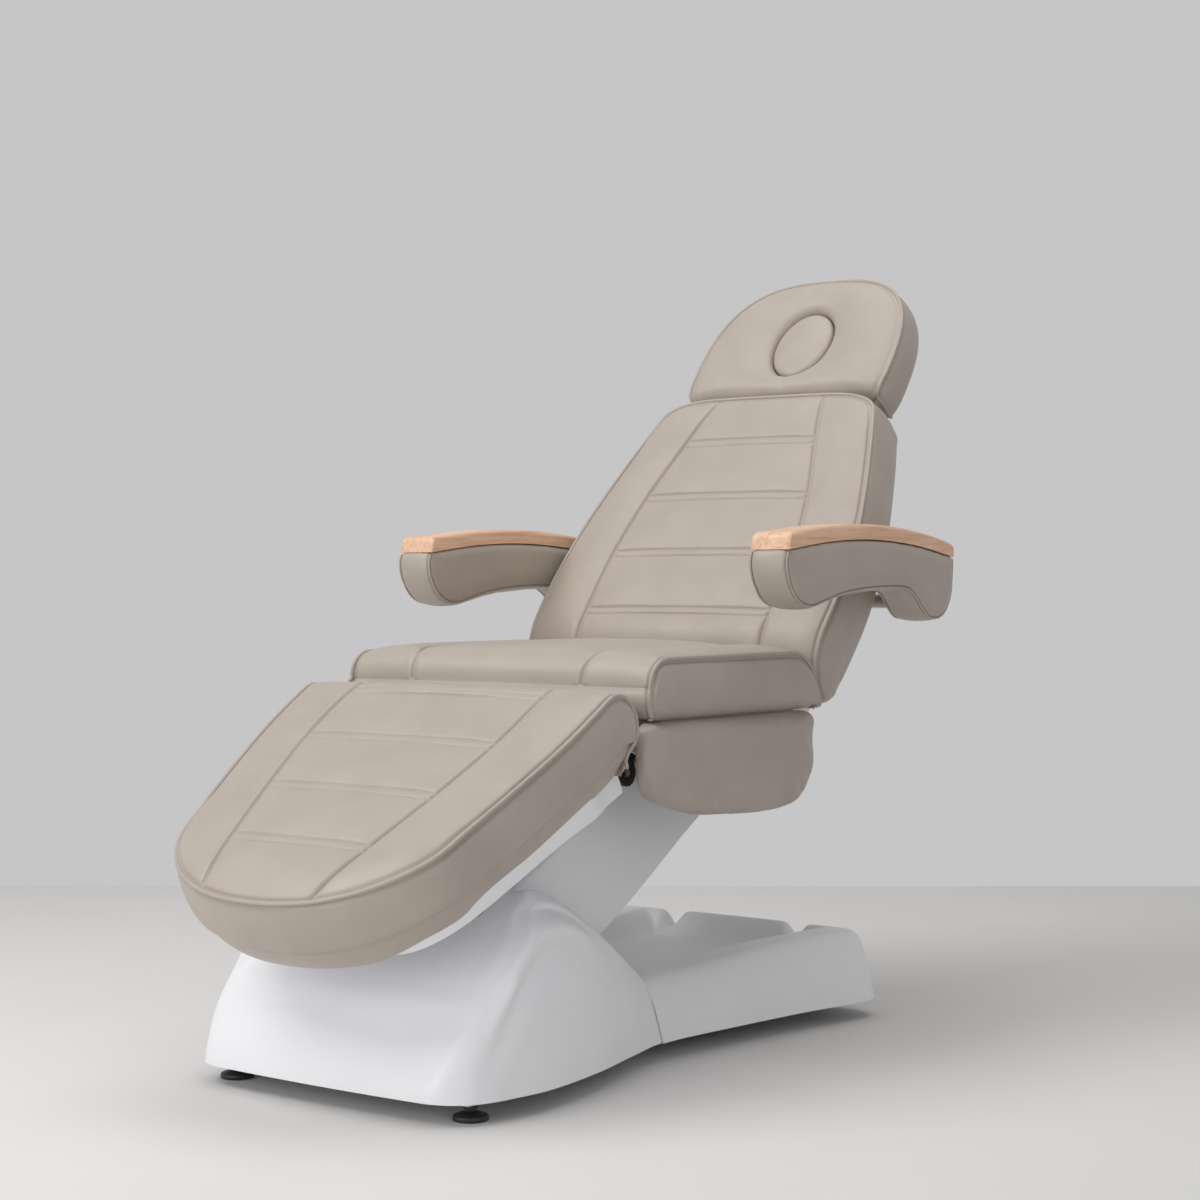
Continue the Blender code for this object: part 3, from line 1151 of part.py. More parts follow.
def backrest():
    stitches = [BACK_STITCH_FIRST + BACK_STITCH_PITCH * index for index in range(4)]

    def edge_height(along):
        share = max(1 - (along - BACK_START) / BACK_ROLL_LENGTH, 0.0)
        return -BACK_ROLL_DROP * (1 - math.sqrt(max(1 - share ** 2, 0.0)))

    grid_cushion("back_cushion", BACK, BACK_START, BACK_END, 1,
                 lambda along: smooth_through(BACK_WIDTHS, along),
                 lambda along: smooth_through(BACK_SEAMS, along),
                 stitches, BACK_FACE, BACK_CUSHION_THICKNESS, (BACK_END_BOW, *ROUND_CORNERS), edge_height,
                 BACK_ROLL_LENGTH, BACK_EDGE_ROUND)
    inset = 2 * BOTTOM_DRAW
    end = BACK_FRAME_END - BOTTOM_DRAW
    corners = [(smooth_through(BACK_WIDTHS, y) - inset, y, radius) for y, radius in (
        (BACK_BOARD_START, 0.02), (0.190, 0.10), (end, 0.03))]
    outline = filleted(corners + [(-x, y, radius) for x, y, radius in reversed(corners)])
    middle = (0, 0, (BACK_BOARD_TOP + BACK_BOARD_BOTTOM) / 2)
    extruded("back_board", [outline], BACK_BOARD_THICKNESS, BACK, PLYWOOD, PLANE_XY, middle)
    top = BACK_BOARD_BOTTOM - GAP
    axle = (AXLE_ALONG, -AXLE_BEHIND)
    lever_plates("back_hinge_plate_", BACK, BACK_RISE, BACK_HINGE_Z - ACTUATOR_LINE, 1,
                 BACK_PLATE_LENGTH, top, BACK_BOARD_START, WHITE_STEEL, axle)
    end = ARMREST_INNER_X + AXLE_BORE - 2 * GAP
    cylinder("armrest_axle", (-end, *axle), (end, *axle), AXLE_RADIUS, BACK, BARE_STEEL)
    radius = HEAD_LUG_RADIUS
    neck_end = BACK_FRAME_END
    outline = filleted((
        (neck_end - HEAD_PLATE_LENGTH, top, 0.0), (neck_end - HEAD_PLATE_LENGTH, -radius, 0.006),
        (HEAD_HINGE_ALONG + radius, -radius, radius * 0.9),
        (HEAD_HINGE_ALONG + radius, radius * 0.75, radius * 0.7), (neck_end, top, 0.0),
    ))
    head = (HEAD_HINGE_ALONG, 0.0)
    width = 2 * HEAD_FORK_HALF_WIDTH
    fork = extruded_mesh("headrest_bracket", [outline], width, BACK, WHITE_STEEL)
    reach = 2 * radius
    room = 2 * (HEAD_ARM_HALF_WIDTH + GAP)
    slot = [
        (HEAD_HINGE_ALONG - 1.2 * radius, -reach), (HEAD_HINGE_ALONG + reach, -reach),
        (HEAD_HINGE_ALONG + reach, reach), (HEAD_HINGE_ALONG - 1.2 * radius, reach),
    ]
    combine(fork, extruded_mesh("headrest_fork_slot", [slot], room, BACK, WHITE_STEEL), "DIFFERENCE")
    hole = circle(head, HEAD_HINGE_RADIUS + GAP)
    combine(fork, extruded_mesh("headrest_fork_hole", [hole], 2 * width, BACK, WHITE_STEEL), "DIFFERENCE")
    half = HEAD_FORK_HALF_WIDTH
    cylinder("headrest_hinge_rod", (-half, *head), (half, *head), HEAD_HINGE_RADIUS, BACK, BARE_STEEL)


# Headrest

def oval(half_width, half_height, sides):
    """Points of the face hole, counter-clockwise from the middle of its right side."""
    turn = 2 * math.pi / sides
    return [
        (half_width * math.cos(turn * i), FACE_HOLE_ALONG + half_height * math.sin(turn * i))
        for i in range(sides)
    ]


def head_half_width(along):
    """Half the headrest's width: widest a little above its lower edge, under an arched top."""
    if along <= HEAD_WIDEST:
        share = (HEAD_WIDEST - along) / (HEAD_WIDEST - HEAD_START)
        return HEAD_HALF_WIDTH - (HEAD_HALF_WIDTH - HEAD_BOTTOM_HALF_WIDTH) * share ** 2
    rise = (along - HEAD_WIDEST) / (HEAD_END - HEAD_WIDEST)
    return HEAD_HALF_WIDTH * max(1 - rise ** HEAD_ARCH_POWER, 0.0) ** (1 / HEAD_ARCH_ROOT)


def head_outline(sides):
    """Points of the headrest's edge, one on each ray from the face hole's middle."""
    steps = 24
    right = [(HEAD_BOTTOM_HALF_WIDTH, HEAD_START, HEAD_BOTTOM_ROUND)]
    for step in range(1, steps):
        along = HEAD_START + (HEAD_END - HEAD_START) * math.sin(math.pi / 2 * step / steps)
        right.append((head_half_width(along), along, 0.0))
    left = [(-x, along, radius) for x, along, radius in reversed(right)]
    dense = filleted(right + [(0.0, HEAD_END, 0.0)] + left, 10)
    centre = Vector((0.0, FACE_HOLE_ALONG))
    found = []
    for index in range(sides):
        angle = 2 * math.pi * index / sides
        ray = Vector((math.cos(angle), math.sin(angle)))
        for first, second in zip(dense, dense[1:] + dense[:1]):
            a = Vector(first) - centre
            b = Vector(second) - centre
            start = ray.cross(a)
            stop = ray.cross(b)
            if start <= 0 < stop:
                point = a + (b - a) * (-start / (stop - start))
                if point.dot(ray) > 0:
                    found.append(tuple(centre + point))
                    break
    return found


def headrest():
    sides = 40
    outer = head_outline(sides)
    hole = oval(FACE_HOLE_HALF_WIDTH, FACE_HOLE_HALF_HEIGHT, sides)
    floor = HEAD_FACE - HEAD_CUSHION_THICKNESS
    rings = []
    for offset, share in (
        (-BOTTOM_DRAW, 1.0), (0.0, 0.85), (SIDE_BULGE, 0.45), (-PIPING_DRAW, 0.10), (0.0, 0.0),
    ):
        ring = offset_outline(outer, offset)
        rings.append([(x, y, HEAD_FACE - HEAD_CUSHION_THICKNESS * share) for x, y in ring])
    for share, rise in ((0.12, 0.6), (0.40, 1.0), (0.70, 0.9), (0.92, 0.35)):
        ring = []
        for edge, inner in zip(outer, hole):
            x = edge[0] + (inner[0] - edge[0]) * share
            y = edge[1] + (inner[1] - edge[1]) * share
            ring.append((x, y, HEAD_FACE + (CROWN + PUFF) * 0.7 * rise))
        rings.append(ring)
    for depth in (0.006, 0.020, HEAD_CUSHION_THICKNESS):
        rings.append([(x, y, HEAD_FACE - depth) for x, y in hole])
    ring_loft("headrest_cushion", rings, HEAD, LEATHER, closed=True)

    board = offset_outline(outer, -2 * BOTTOM_DRAW)
    opening = oval(FACE_HOLE_HALF_WIDTH - FACE_HOLE_LEDGE, FACE_HOLE_HALF_HEIGHT - FACE_HOLE_LEDGE, sides)
    middle = (0, 0, (HEAD_BOARD_TOP + HEAD_BOARD_BOTTOM) / 2)
    extruded("headrest_board", [board, opening], HEAD_BOARD_THICKNESS, HEAD, PLYWOOD, PLANE_XY, middle)

    crest = HEAD_FACE - FACE_PLUG_RECESS
    rings = []
    for inset, height in (
        (0.004, floor), (2 * GAP, floor + 0.008), (2 * GAP, crest - 0.016), (0.004, crest - 0.008),
        (0.014, crest - 0.002), (0.030, crest),
    ):
        ring = oval(FACE_HOLE_HALF_WIDTH - inset, FACE_HOLE_HALF_HEIGHT - inset, sides)
        rings.append([(x, y, height) for x, y in ring])
    ring_loft("face_plug", rings, PLUG, LEATHER)

    top = HEAD_BOARD_BOTTOM - GAP
    radius = HEAD_LUG_RADIUS
    outline = filleted((
        (HEAD_START + 2 * BOTTOM_DRAW, top, 0.0), (radius * 0.4, radius * 0.75, 0.003),
        (-radius, radius * 0.75, radius * 0.7), (-radius, -radius, radius * 0.9),
        (HEAD_PLATE_LENGTH, -radius, 0.004), (HEAD_PLATE_LENGTH, top, 0.0),
    ))
    pin_hole = circle((0.0, 0.0), HEAD_HINGE_RADIUS + GAP)
    extruded("headrest_arm", [outline, pin_hole], 2 * HEAD_ARM_HALF_WIDTH, HEAD, WHITE_STEEL)


# Armrests

def armrest_wood_line(y):
    points = (
        (ARMREST_FRONT, ARMREST_WOOD_FRONT), (ARMREST_WOOD_CREST_Y, ARMREST_WOOD_CREST),
        (ARMREST_REAR, ARMREST_WOOD_REAR),
    )
    return smooth_through(points, y)


def armrest(side, sign, frame):
    steps = 12
    stations = [ARMREST_FRONT + (ARMREST_REAR - ARMREST_FRONT) * step / steps for step in range(steps + 1)]
    line = [(y, armrest_wood_line(y)) for y in stations]
    upper = [(y, z + ARMREST_WOOD) for y, z in reversed(line[1:-1])]
    rear_cap = [
        (line[-1][0], line[-1][1] + ARMREST_WOOD * 0.8), (line[-1][0] - 0.006, line[-1][1] + ARMREST_WOOD),
    ]
    front_cap = [
        (line[0][0] + 0.026, line[0][1] + ARMREST_WOOD + 0.002),
        (line[0][0] + 0.008, line[0][1] + ARMREST_WOOD * 0.8),
        (line[0][0] + 0.002, line[0][1] + ARMREST_WOOD * 0.4),
    ]
    wood = line + rear_cap + upper[:-1] + front_cap
    pad_top = [(y, z - GAP) for y, z in reversed(line)]
    under = filleted((
        (ARMREST_FRONT + 0.002, line[0][1] - 0.02, 0.0), (ARMREST_FRONT + 0.012, ARMREST_PAD_BOTTOM, 0.045),
        (ARMREST_FRONT + 0.150, ARMREST_PAD_BOTTOM + 0.008, 0.15), (-0.200, ARMREST_PAD_ARCH, 0.15),
        (ARMREST_HOOK_FRONT - 0.030, ARMREST_PAD_ARCH, 0.03),
        (ARMREST_HOOK_FRONT + 0.032, ARMREST_HOOK_BOTTOM, 0.012), (0.020, ARMREST_HOOK_BOTTOM, 0.02),
        (ARMREST_REAR - 0.002, -0.004, 0.02), (ARMREST_REAR, 0.040, 0.0),
    ), 5)
    pad = under + pad_top
    start = ARMREST_INNER_X
    end = start + ARMREST_WIDTH
    for name, outline, edge, surface in (
        ("armrest_wood_", wood, 0.004, BEECH), ("armrest_pad_", pad, 0.008, LEATHER),
    ):
        rings = []
        for inset, x in (
            (edge, start), (edge * 0.3, start + edge * 0.3), (0.0, start + edge),
            (0.0, end - edge), (edge * 0.3, end - edge * 0.3), (edge, end),
        ):
            if name == "armrest_pad_":
                moved = [(y, min(z, armrest_wood_line(y) - GAP)) for y, z in offset_outline(outline, -inset)]
            else:
                moved = [(y, max(z, armrest_wood_line(y))) for y, z in offset_outline(outline, -inset)]
            rings.append([(sign * x, y, z) for y, z in moved])
        solid = ring_loft(name + side, rings, frame, surface)
    depth = start + AXLE_BORE
    bore = cylinder(
        "armrest_bore_" + side, (sign * (start - AXLE_BORE), 0, 0), (sign * depth, 0, 0), AXLE_RADIUS + GAP,
        frame, LEATHER,
    )
    combine(solid, bore, "DIFFERENCE")


# Joint frames, from the floor up

BASE = Frame("base_frame", None, ORIGIN_Y)
LIFT = Frame("lift_pivot", BASE, ARM_PIVOT_Y, ARM_PIVOT_Z, LIFT_SLOPE)
LINK = Frame("link_pivot", BASE, ARM_PIVOT_Y, ARM_PIVOT_Z + LINK_RISE, LIFT_SLOPE)
SEAT = Frame("seat_pivot", LIFT, ARM_LENGTH, 0.0, -LIFT_SLOPE)
LEG = Frame("leg_hinge", SEAT, LEG_HINGE_Y, LEG_HINGE_Z, LEG_DROP)
BACK = Frame("back_hinge", SEAT, BACK_HINGE_Y, BACK_HINGE_Z, BACK_RISE)
HEAD = Frame("headrest_hinge", BACK, HEAD_HINGE_ALONG, 0.0)
PLUG = Frame("face_plug_seat", HEAD)
ARMREST_LEFT = Frame("armrest_left_pivot", BACK, AXLE_ALONG, -AXLE_BEHIND, -BACK_RISE)
ARMREST_RIGHT = Frame("armrest_right_pivot", BACK, AXLE_ALONG, -AXLE_BEHIND, -BACK_RISE)

# The lift actuator points from its pin in the base to the arm's cross tube
cross_y = ARM_CROSS_ALONG * math.cos(LIFT_SLOPE) + ARM_CROSS_BELOW * math.sin(LIFT_SLOPE)
cross_z = ARM_CROSS_ALONG * math.sin(LIFT_SLOPE) - ARM_CROSS_BELOW * math.cos(LIFT_SLOPE)
reach_y = ARM_PIVOT_Y + cross_y - LIFT_ACTUATOR_Y
reach_z = ARM_PIVOT_Z + cross_z - LIFT_ACTUATOR_Z
LIFT_ACTUATOR = Frame("lift_actuator_pivot", BASE, LIFT_ACTUATOR_Y, LIFT_ACTUATOR_Z,
                      math.atan2(reach_z, reach_y))

# The lever actuators lie under the seat, the back one on the left and the leg one on the right
back_pin = BACK_HINGE_Y + (BACK_HINGE_Z - ACTUATOR_LINE) * math.tan(BACK_RISE / 2)
leg_pin = LEG_HINGE_Y + (LEG_HINGE_Z - ACTUATOR_LINE) * math.tan(LEG_DROP / 2)
BACK_ACTUATOR = Frame("back_actuator_mount", SEAT, SEAT_CROSS_FRONT_Y, ACTUATOR_LINE)
LEG_ACTUATOR = Frame("leg_actuator_mount", SEAT, SEAT_CROSS_REAR_Y, ACTUATOR_LINE, math.pi)

base_frame()
base_covers()
lift_arm()
parallel_link()
lift_actuator(math.hypot(reach_y, reach_z))
seat_frame()
side_panels()
seat_cushion()
lever_actuator("back_actuator", BACK_ACTUATOR, -ACTUATOR_X, BACK_TUBE_LENGTH, BACK_BORE_START, BACK_ROD_START,
               back_pin - SEAT_CROSS_FRONT_Y, 1)
lever_actuator("leg_actuator", LEG_ACTUATOR, ACTUATOR_X, LEG_TUBE_LENGTH, LEG_BORE_START, LEG_ROD_START,
               SEAT_CROSS_REAR_Y - leg_pin, -1)
leg_rest()
backrest()
headrest()
armrest("left", -1, ARMREST_LEFT)
armrest("right", 1, ARMREST_RIGHT)
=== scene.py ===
"""Looks of an electric beauty bed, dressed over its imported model. Metres, in the model's own frame."""

import json
import math
from types import SimpleNamespace

import bmesh
import bpy
from mathutils import Matrix
from mathutils import Vector
from mathutils.bvhtree import BVHTree
from mathutils.kdtree import KDTree


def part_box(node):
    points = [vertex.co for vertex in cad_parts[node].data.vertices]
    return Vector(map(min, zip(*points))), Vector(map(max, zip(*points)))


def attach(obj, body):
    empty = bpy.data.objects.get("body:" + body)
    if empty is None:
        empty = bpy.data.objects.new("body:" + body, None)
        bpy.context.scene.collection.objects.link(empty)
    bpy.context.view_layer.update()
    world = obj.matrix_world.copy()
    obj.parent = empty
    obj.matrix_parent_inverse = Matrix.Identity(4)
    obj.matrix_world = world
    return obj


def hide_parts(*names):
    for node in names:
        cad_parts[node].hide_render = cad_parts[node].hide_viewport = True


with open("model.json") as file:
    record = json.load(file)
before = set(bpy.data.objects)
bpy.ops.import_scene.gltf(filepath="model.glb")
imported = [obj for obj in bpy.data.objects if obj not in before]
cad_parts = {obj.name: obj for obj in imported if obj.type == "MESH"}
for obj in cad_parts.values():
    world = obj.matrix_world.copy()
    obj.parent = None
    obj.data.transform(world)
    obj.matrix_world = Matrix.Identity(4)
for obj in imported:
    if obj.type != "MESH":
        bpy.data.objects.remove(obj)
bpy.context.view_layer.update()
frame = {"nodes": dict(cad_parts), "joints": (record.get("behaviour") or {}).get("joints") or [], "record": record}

# Resting slopes
LEG_DROP = math.radians(32.5)
BACK_RISE = math.radians(52.7)

# Sewing and stuffing: levels run down a cushion's side, which swells as (level, swell)
CELL = 0.010
SEAM_STEPS = (-0.0050, -0.0022, 0.0, 0.0022, 0.0050)
EDGE_STEPS = (0.0022, 0.0044, 0.0066, 0.0095)
TWIN_SEAM = 0.0065
CROWN = 0.010
PUFF = 0.006
PIPING_RADIUS = 0.0031
PIPING_GROOVE = 0.0030
STITCH_PITCH = 0.0058
STITCH_LENGTH = 0.0040
THREAD_RADIUS = 0.00055
CLOTH_FRAMES = 20
CLOTH_PRESSURE = 4.0
SEAM_GROOVE = 0.0032
SEAM_GROOVE_WIDTH = 0.0026
STITCH_GROOVE = 0.0024
STITCH_GROOVE_WIDTH = 0.0020
PIPING_PROUD = 0.35
PIPING_SUNK = -2.0
SIDE_LEVELS = (
    0.025, 0.06, 0.11, 0.18, 0.27, 0.37, 0.48, 0.58, 0.66, 0.70, 0.73, 0.76, 0.80, 0.86, 0.93, 0.97, 1.0,
)
SOFT_SIDE = (
    (0.0, 0.0), (0.05, -0.0015), (0.16, 0.005), (0.45, 0.009), (0.72, 0.007), (0.90, 0.001), (1.0, -0.010),
)

# Camera that took the photograph, with Y from the middle of the base
CAMERA_PLACE = (2.296, -2.9736, 0.740)
CAMERA_TURN = (math.radians(89.44), 0.0, math.radians(37.2))
CAMERA_LENS = 70.37

# Seat, from its pivot on the lift arm
SEAT_TOP = 0.189
SEAT_HEIGHT = 0.090
SEAT_HALF_WIDTH = 0.296
SEAT_FRONT = -0.357
SEAT_REAR = 0.096
SEAT_SEAM_X = 0.190
SIDE_INNER_X = 0.275
SIDE_OUTER_X = 0.308
SIDE_FRONT = -0.374
SIDE_REAR = 0.086
SIDE_TOP = 0.0975
SIDE_BOTTOM = -0.059

# Leg rest, drawn flat from its hinge: widths and seams are (distance, half width), a side is (level, swell)
LEG_FACE = 0.108
LEG_THICKNESS = 0.110
LEG_START = 0.032
LEG_END = 0.563
LEG_WIDTHS = ((0.032, 0.299), (0.160, 0.295), (0.286, 0.276), (0.400, 0.252), (0.440, 0.249))
LEG_SEAMS = ((0.032, 0.188), (0.180, 0.184), (0.306, 0.163), (0.433, 0.133), (0.561, 0.104))
LEG_STITCHES = tuple(0.080 + 0.121 * index for index in range(4))
LEG_SIDE = (
    (0.0, 0.0), (0.05, -0.0015), (0.16, 0.005), (0.42, 0.009), (0.60, 0.0085), (0.66, 0.006), (0.72, 0.000),
    (0.86, -0.005), (1.0, -0.014),
)
PAN_WIDTHS = (
    (0.080, 0.271), (0.120, 0.274), (0.170, 0.284), (0.286, 0.266), (0.415, 0.238),
    (0.455, 0.217), (0.485, 0.190), (0.505, 0.155), (0.516, 0.110), (0.522, 0.055),
)
PAN_RIMS = ((0.080, 0.002), (0.140, 0.012), (0.420, 0.012), (0.480, 0.000), (0.522, -0.002))
PAN_EDGES = (
    (0.080, 0.050), (0.110, 0.044), (0.170, 0.031), (0.220, 0.0235), (0.300, 0.0205),
    (0.420, 0.0190), (0.487, 0.020), (0.512, 0.012), (0.522, 0.004),
)
PAN_DEPTHS = (
    (0.080, 0.078), (0.300, 0.054), (0.415, 0.041), (0.490, 0.026), (0.512, 0.015), (0.522, 0.005),
)

# Backrest, drawn flat from its hinge in the same way
BACK_FACE = 0.105
BACK_THICKNESS = 0.1035
BACK_START = 0.012
BACK_END = 0.607
BACK_WIDTHS = (
    (0.012, 0.290), (0.067, 0.296), (0.190, 0.300), (0.314, 0.287), (0.404, 0.268),
    (0.507, 0.241), (0.563, 0.2235),
)
BACK_SEAMS = (
    (0.012, 0.188), (0.140, 0.189), (0.252, 0.186), (0.377, 0.167), (0.497, 0.136), (0.607, 0.109),
)
BACK_STITCHES = tuple(0.123 + 0.124 * index for index in range(4))
BACK_SIDE = (
    (0.0, 0.0), (0.05, -0.0015), (0.16, 0.005), (0.45, 0.009), (0.72, 0.008), (0.92, 0.005), (1.0, -0.003),
)

# Headrest, from its hinge
HEAD_FACE = 0.089
HEAD_THICKNESS = 0.080
HEAD_START = 0.008
HEAD_END = 0.286
HEAD_WIDEST = 0.060
HEAD_HALF_WIDTH = 0.206
HEAD_BOTTOM_HALF_WIDTH = 0.198
HOLE_ALONG = 0.135
HOLE_HALF_WIDTH = 0.0585
HOLE_HALF_HEIGHT = 0.0765
PLUG_CREST = 0.0905

# Armrests, from their axle: lines are (y, z)
ARM_INNER_X = 0.321
ARM_WIDTH = 0.072
ARM_FRONT = -0.452
ARM_REAR = 0.060
ARM_WOOD = 0.0245
ARM_PAD_GAP = 0.0006
ARM_SEAM_INSET = 0.0022
ARM_SEAM_RADIUS = 0.0018
ARM_WOOD_LINE = ((-0.452, 0.082), (-0.330, 0.0955), (-0.205, 0.0998), (-0.070, 0.0925), (0.060, 0.074))
ARM_PAD_LINE = (
    (-0.450, 0.080), (-0.455, 0.064), (-0.452, 0.044), (-0.443, 0.025), (-0.427, 0.007), (-0.404, -0.004),
    (-0.378, -0.006), (-0.340, 0.001), (-0.290, 0.011), (-0.230, 0.0175), (-0.165, 0.0205), (-0.115, 0.0205),
    (-0.086, 0.017), (-0.062, 0.004), (-0.040, -0.015), (-0.021, -0.027), (0.000, -0.030), (0.020, -0.027),
    (0.040, -0.015), (0.054, 0.006), (0.059, 0.034), (0.060, 0.073),
)

# Base covers, with Y from the middle of the base: widths and lips are (y, x), crests and ridges (y, z)
LIFT_PIVOT_Y = -0.300
ARM_COVER_HALF_WIDTH = 0.1185
COVER_WALL = 0.0035
COVER_BOTTOM = 0.030
COVER_FRONT = -0.611
COVER_SEAM = -0.075
COVER_REAR = 0.497
COVER_SLOT_HALF_WIDTH = 0.135
COVER_SLOT_FRONT = -0.411
COVER_FLOOR = 0.105
BEAM_HALF = 0.242
COVER_WIDTHS = (
    (-0.611, 0.205), (-0.604, 0.228), (-0.590, 0.248), (-0.570, 0.262), (-0.530, 0.273),
    (-0.435, 0.283), (-0.300, 0.266), (-0.180, 0.237), (-0.067, 0.214), (0.063, 0.228),
    (0.260, 0.252), (0.420, 0.279), (0.460, 0.280), (0.482, 0.267), (0.497, 0.240),
)
COVER_LIP_X = (
    (-0.611, 0.172), (-0.560, 0.228), (-0.500, 0.214), (-0.450, 0.198), (-0.400, 0.185),
    (-0.300, 0.172), (-0.200, 0.163), (-0.075, 0.152),
)
COVER_CRESTS = (
    (-0.611, 0.110), (-0.560, 0.140), (-0.520, 0.190), (-0.480, 0.236), (-0.440, 0.270),
    (-0.400, 0.286), (-0.340, 0.284), (-0.270, 0.258), (-0.170, 0.202), (-0.075, 0.136),
)
COVER_RIDGES = ((-0.075, 0.118), (0.100, 0.133), (0.280, 0.143), (0.497, 0.147))
FOOT_HEIGHT = 0.0237
FOOT_RADIUS = 0.025


# Curves and outlines

def smooth_through(points, value):
    """Height of a smooth curve through the points, flat beyond its ends."""
    if value <= points[0][0]:
        return points[0][1]
    if value >= points[-1][0]:
        return points[-1][1]
    slopes = []
    for index in range(len(points)):
        before = points[max(index - 1, 0)]
        after = points[min(index + 1, len(points) - 1)]
        slopes.append((after[1] - before[1]) / (after[0] - before[0]))
    index = next(i for i in range(len(points) - 1) if value <= points[i + 1][0])
    (x0, y0), (x1, y1) = points[index], points[index + 1]
    span = x1 - x0
    t = (value - x0) / span
    rise = (2 * t ** 3 - 3 * t ** 2 + 1) * y0 + (3 * t ** 2 - 2 * t ** 3) * y1
    bend = (t ** 3 - 2 * t ** 2 + t) * slopes[index] + (t ** 3 - t ** 2) * slopes[index + 1]
    return rise + span * bend


def curve_of(points):
    """The smooth curve through the points, as a function."""
    return lambda value: smooth_through(points, value)


def smooth_step(low, high, value):
    t = min(max((value - low) / (high - low), 0.0), 1.0)
    return t * t * (3 - 2 * t)


def bell(distance, width):
    return math.exp(-((distance / width) ** 2))


def rolled(depth, radius):
    """Drop of a rolled edge at a depth in from its outermost line."""
    if depth >= radius:
        return 0.0
    return radius - math.sqrt(max(radius ** 2 - (radius - max(depth, 0.0)) ** 2, 0.0))


def spaced(keys, pitch):
    """The positions in order, with each gap wider than the pitch split evenly."""
    ordered = sorted(set(round(key, 6) for key in keys))
    filled = []
    for first, second in zip(ordered, ordered[1:]):
        count = max(1, math.ceil((second - first) / pitch - 0.01))
        filled += [first + (second - first) * step / count for step in range(count)]
    return filled + [ordered[-1]]


def mirrored(values):
    return [-value for value in reversed(values)] + [value for value in values if value > 0]


def both_sides(right):
    """A whole section from its right half, which starts in the middle."""
    return [(-x, z) for x, z in reversed(right[1:])] + right


def circle(sides):
    """Cosine and sine of even steps round a circle."""
    turns = [2 * math.pi * step / sides for step in range(sides)]
    return [(math.cos(turn), math.sin(turn)) for turn in turns]


def filleted(corners, steps=6):
    """Closed outline from (u, v, radius) corners, each rounded by an arc."""
    outline = []
    count = len(corners)
    for index, (u, v, radius) in enumerate(corners):
        here = Vector((u, v))
        if radius <= 0:
            outline.append((u, v))
            continue
        to_last = (Vector(corners[index - 1][:2]) - here).normalized()
        to_next = (Vector(corners[(index + 1) % count][:2]) - here).normalized()
        half = to_last.angle(to_next) / 2
        reach = radius / math.tan(half)
        centre = here + (to_last + to_next).normalized() * (radius / math.sin(half))
        start = here + to_last * reach - centre
        sweep = start.angle_signed(here + to_next * reach - centre)
        for step in range(steps + 1):
            turned = start.copy()
            turned.rotate(Matrix.Rotation(-sweep * step / steps, 2))
            outline.append(tuple(centre + turned))
    return outline


def offset_outline(outline, distance):
    """Outline moved outwards along its own normals, for one that runs counter-clockwise."""
    moved = []
    count = len(outline)
    for index, point in enumerate(outline):
        before = Vector(outline[index - 1])
        after = Vector(outline[(index + 1) % count])
        along = (after - before).normalized()
        moved.append((point[0] + along.y * distance, point[1] - along.x * distance))
    return moved


def curve_through(points, steps):
    """Smooth open curve through the points."""
    path = [Vector(point) for point in points]
    path = [2 * path[0] - path[1]] + path + [2 * path[-1] - path[-2]]
    curve = []
    for a, b, c, d in zip(path, path[1:], path[2:], path[3:]):
        for step in range(steps):
            t = step / steps
            cubic = 2 * b + (c - a) * t
            cubic += (2 * a - 5 * b + 4 * c - d) * t ** 2
            cubic += (3 * b - a - 3 * c + d) * t ** 3
            curve.append(tuple(cubic / 2))
    return curve + [tuple(path[-2])]


def resampled(path, pitch):
    """Points at even distances along a path."""
    path = [Vector(point) for point in path]
    lengths = [0.0]
    for first, second in zip(path, path[1:]):
        lengths.append(lengths[-1] + (second - first).length)
    count = max(2, round(lengths[-1] / pitch))
    points = []
    index = 0
    for step in range(count + 1):
        target = lengths[-1] * step / count
        while index < len(path) - 2 and lengths[index + 1] < target:
            index += 1
        span = lengths[index + 1] - lengths[index]
        share = (target - lengths[index]) / span if span > 0 else 0.0
        points.append(path[index].lerp(path[index + 1], min(max(share, 0.0), 1.0)))
    return points


# Meshes

def make_item(name, points, faces):
    mesh = bpy.data.meshes.new(name)
    mesh.from_pydata([tuple(point) for point in points], [], faces)
    work = bmesh.new()
    work.from_mesh(mesh)
    bmesh.ops.recalc_face_normals(work, faces=work.faces)
    work.to_mesh(mesh)
    work.free()
    mesh.shade_smooth()
    item = bpy.data.objects.new(name, mesh)
    bpy.context.scene.collection.objects.link(item)
    return item


def ring_faces(count, rings, ends="capped"):
    """Faces of a skin over rings of points: its ends are capped, open, or meet."""
    faces = []
    for ring in range(rings if ends == "meet" else rings - 1):
        lower = ring * count
        upper = ((ring + 1) % rings) * count
        for index in range(count):
            following = (index + 1) % count
            faces.append((lower + index, lower + following, upper + following, upper + index))
    if ends == "capped":
        faces.append(tuple(range(count - 1, -1, -1)))
        faces.append(tuple(range((rings - 1) * count, rings * count)))
    return faces


def grid_faces(rows, width):
    """Faces of a sheet over rows of points, in order."""
    corners = [row * width + column for row in range(rows - 1) for column in range(width - 1)]
    return [(corner, corner + 1, corner + width + 1, corner + width) for corner in corners]


def ring_item(name, rings, ends="capped"):
    points = [point for ring in rings for point in ring]
    return make_item(name, points, ring_faces(len(rings[0]), len(rings), ends))


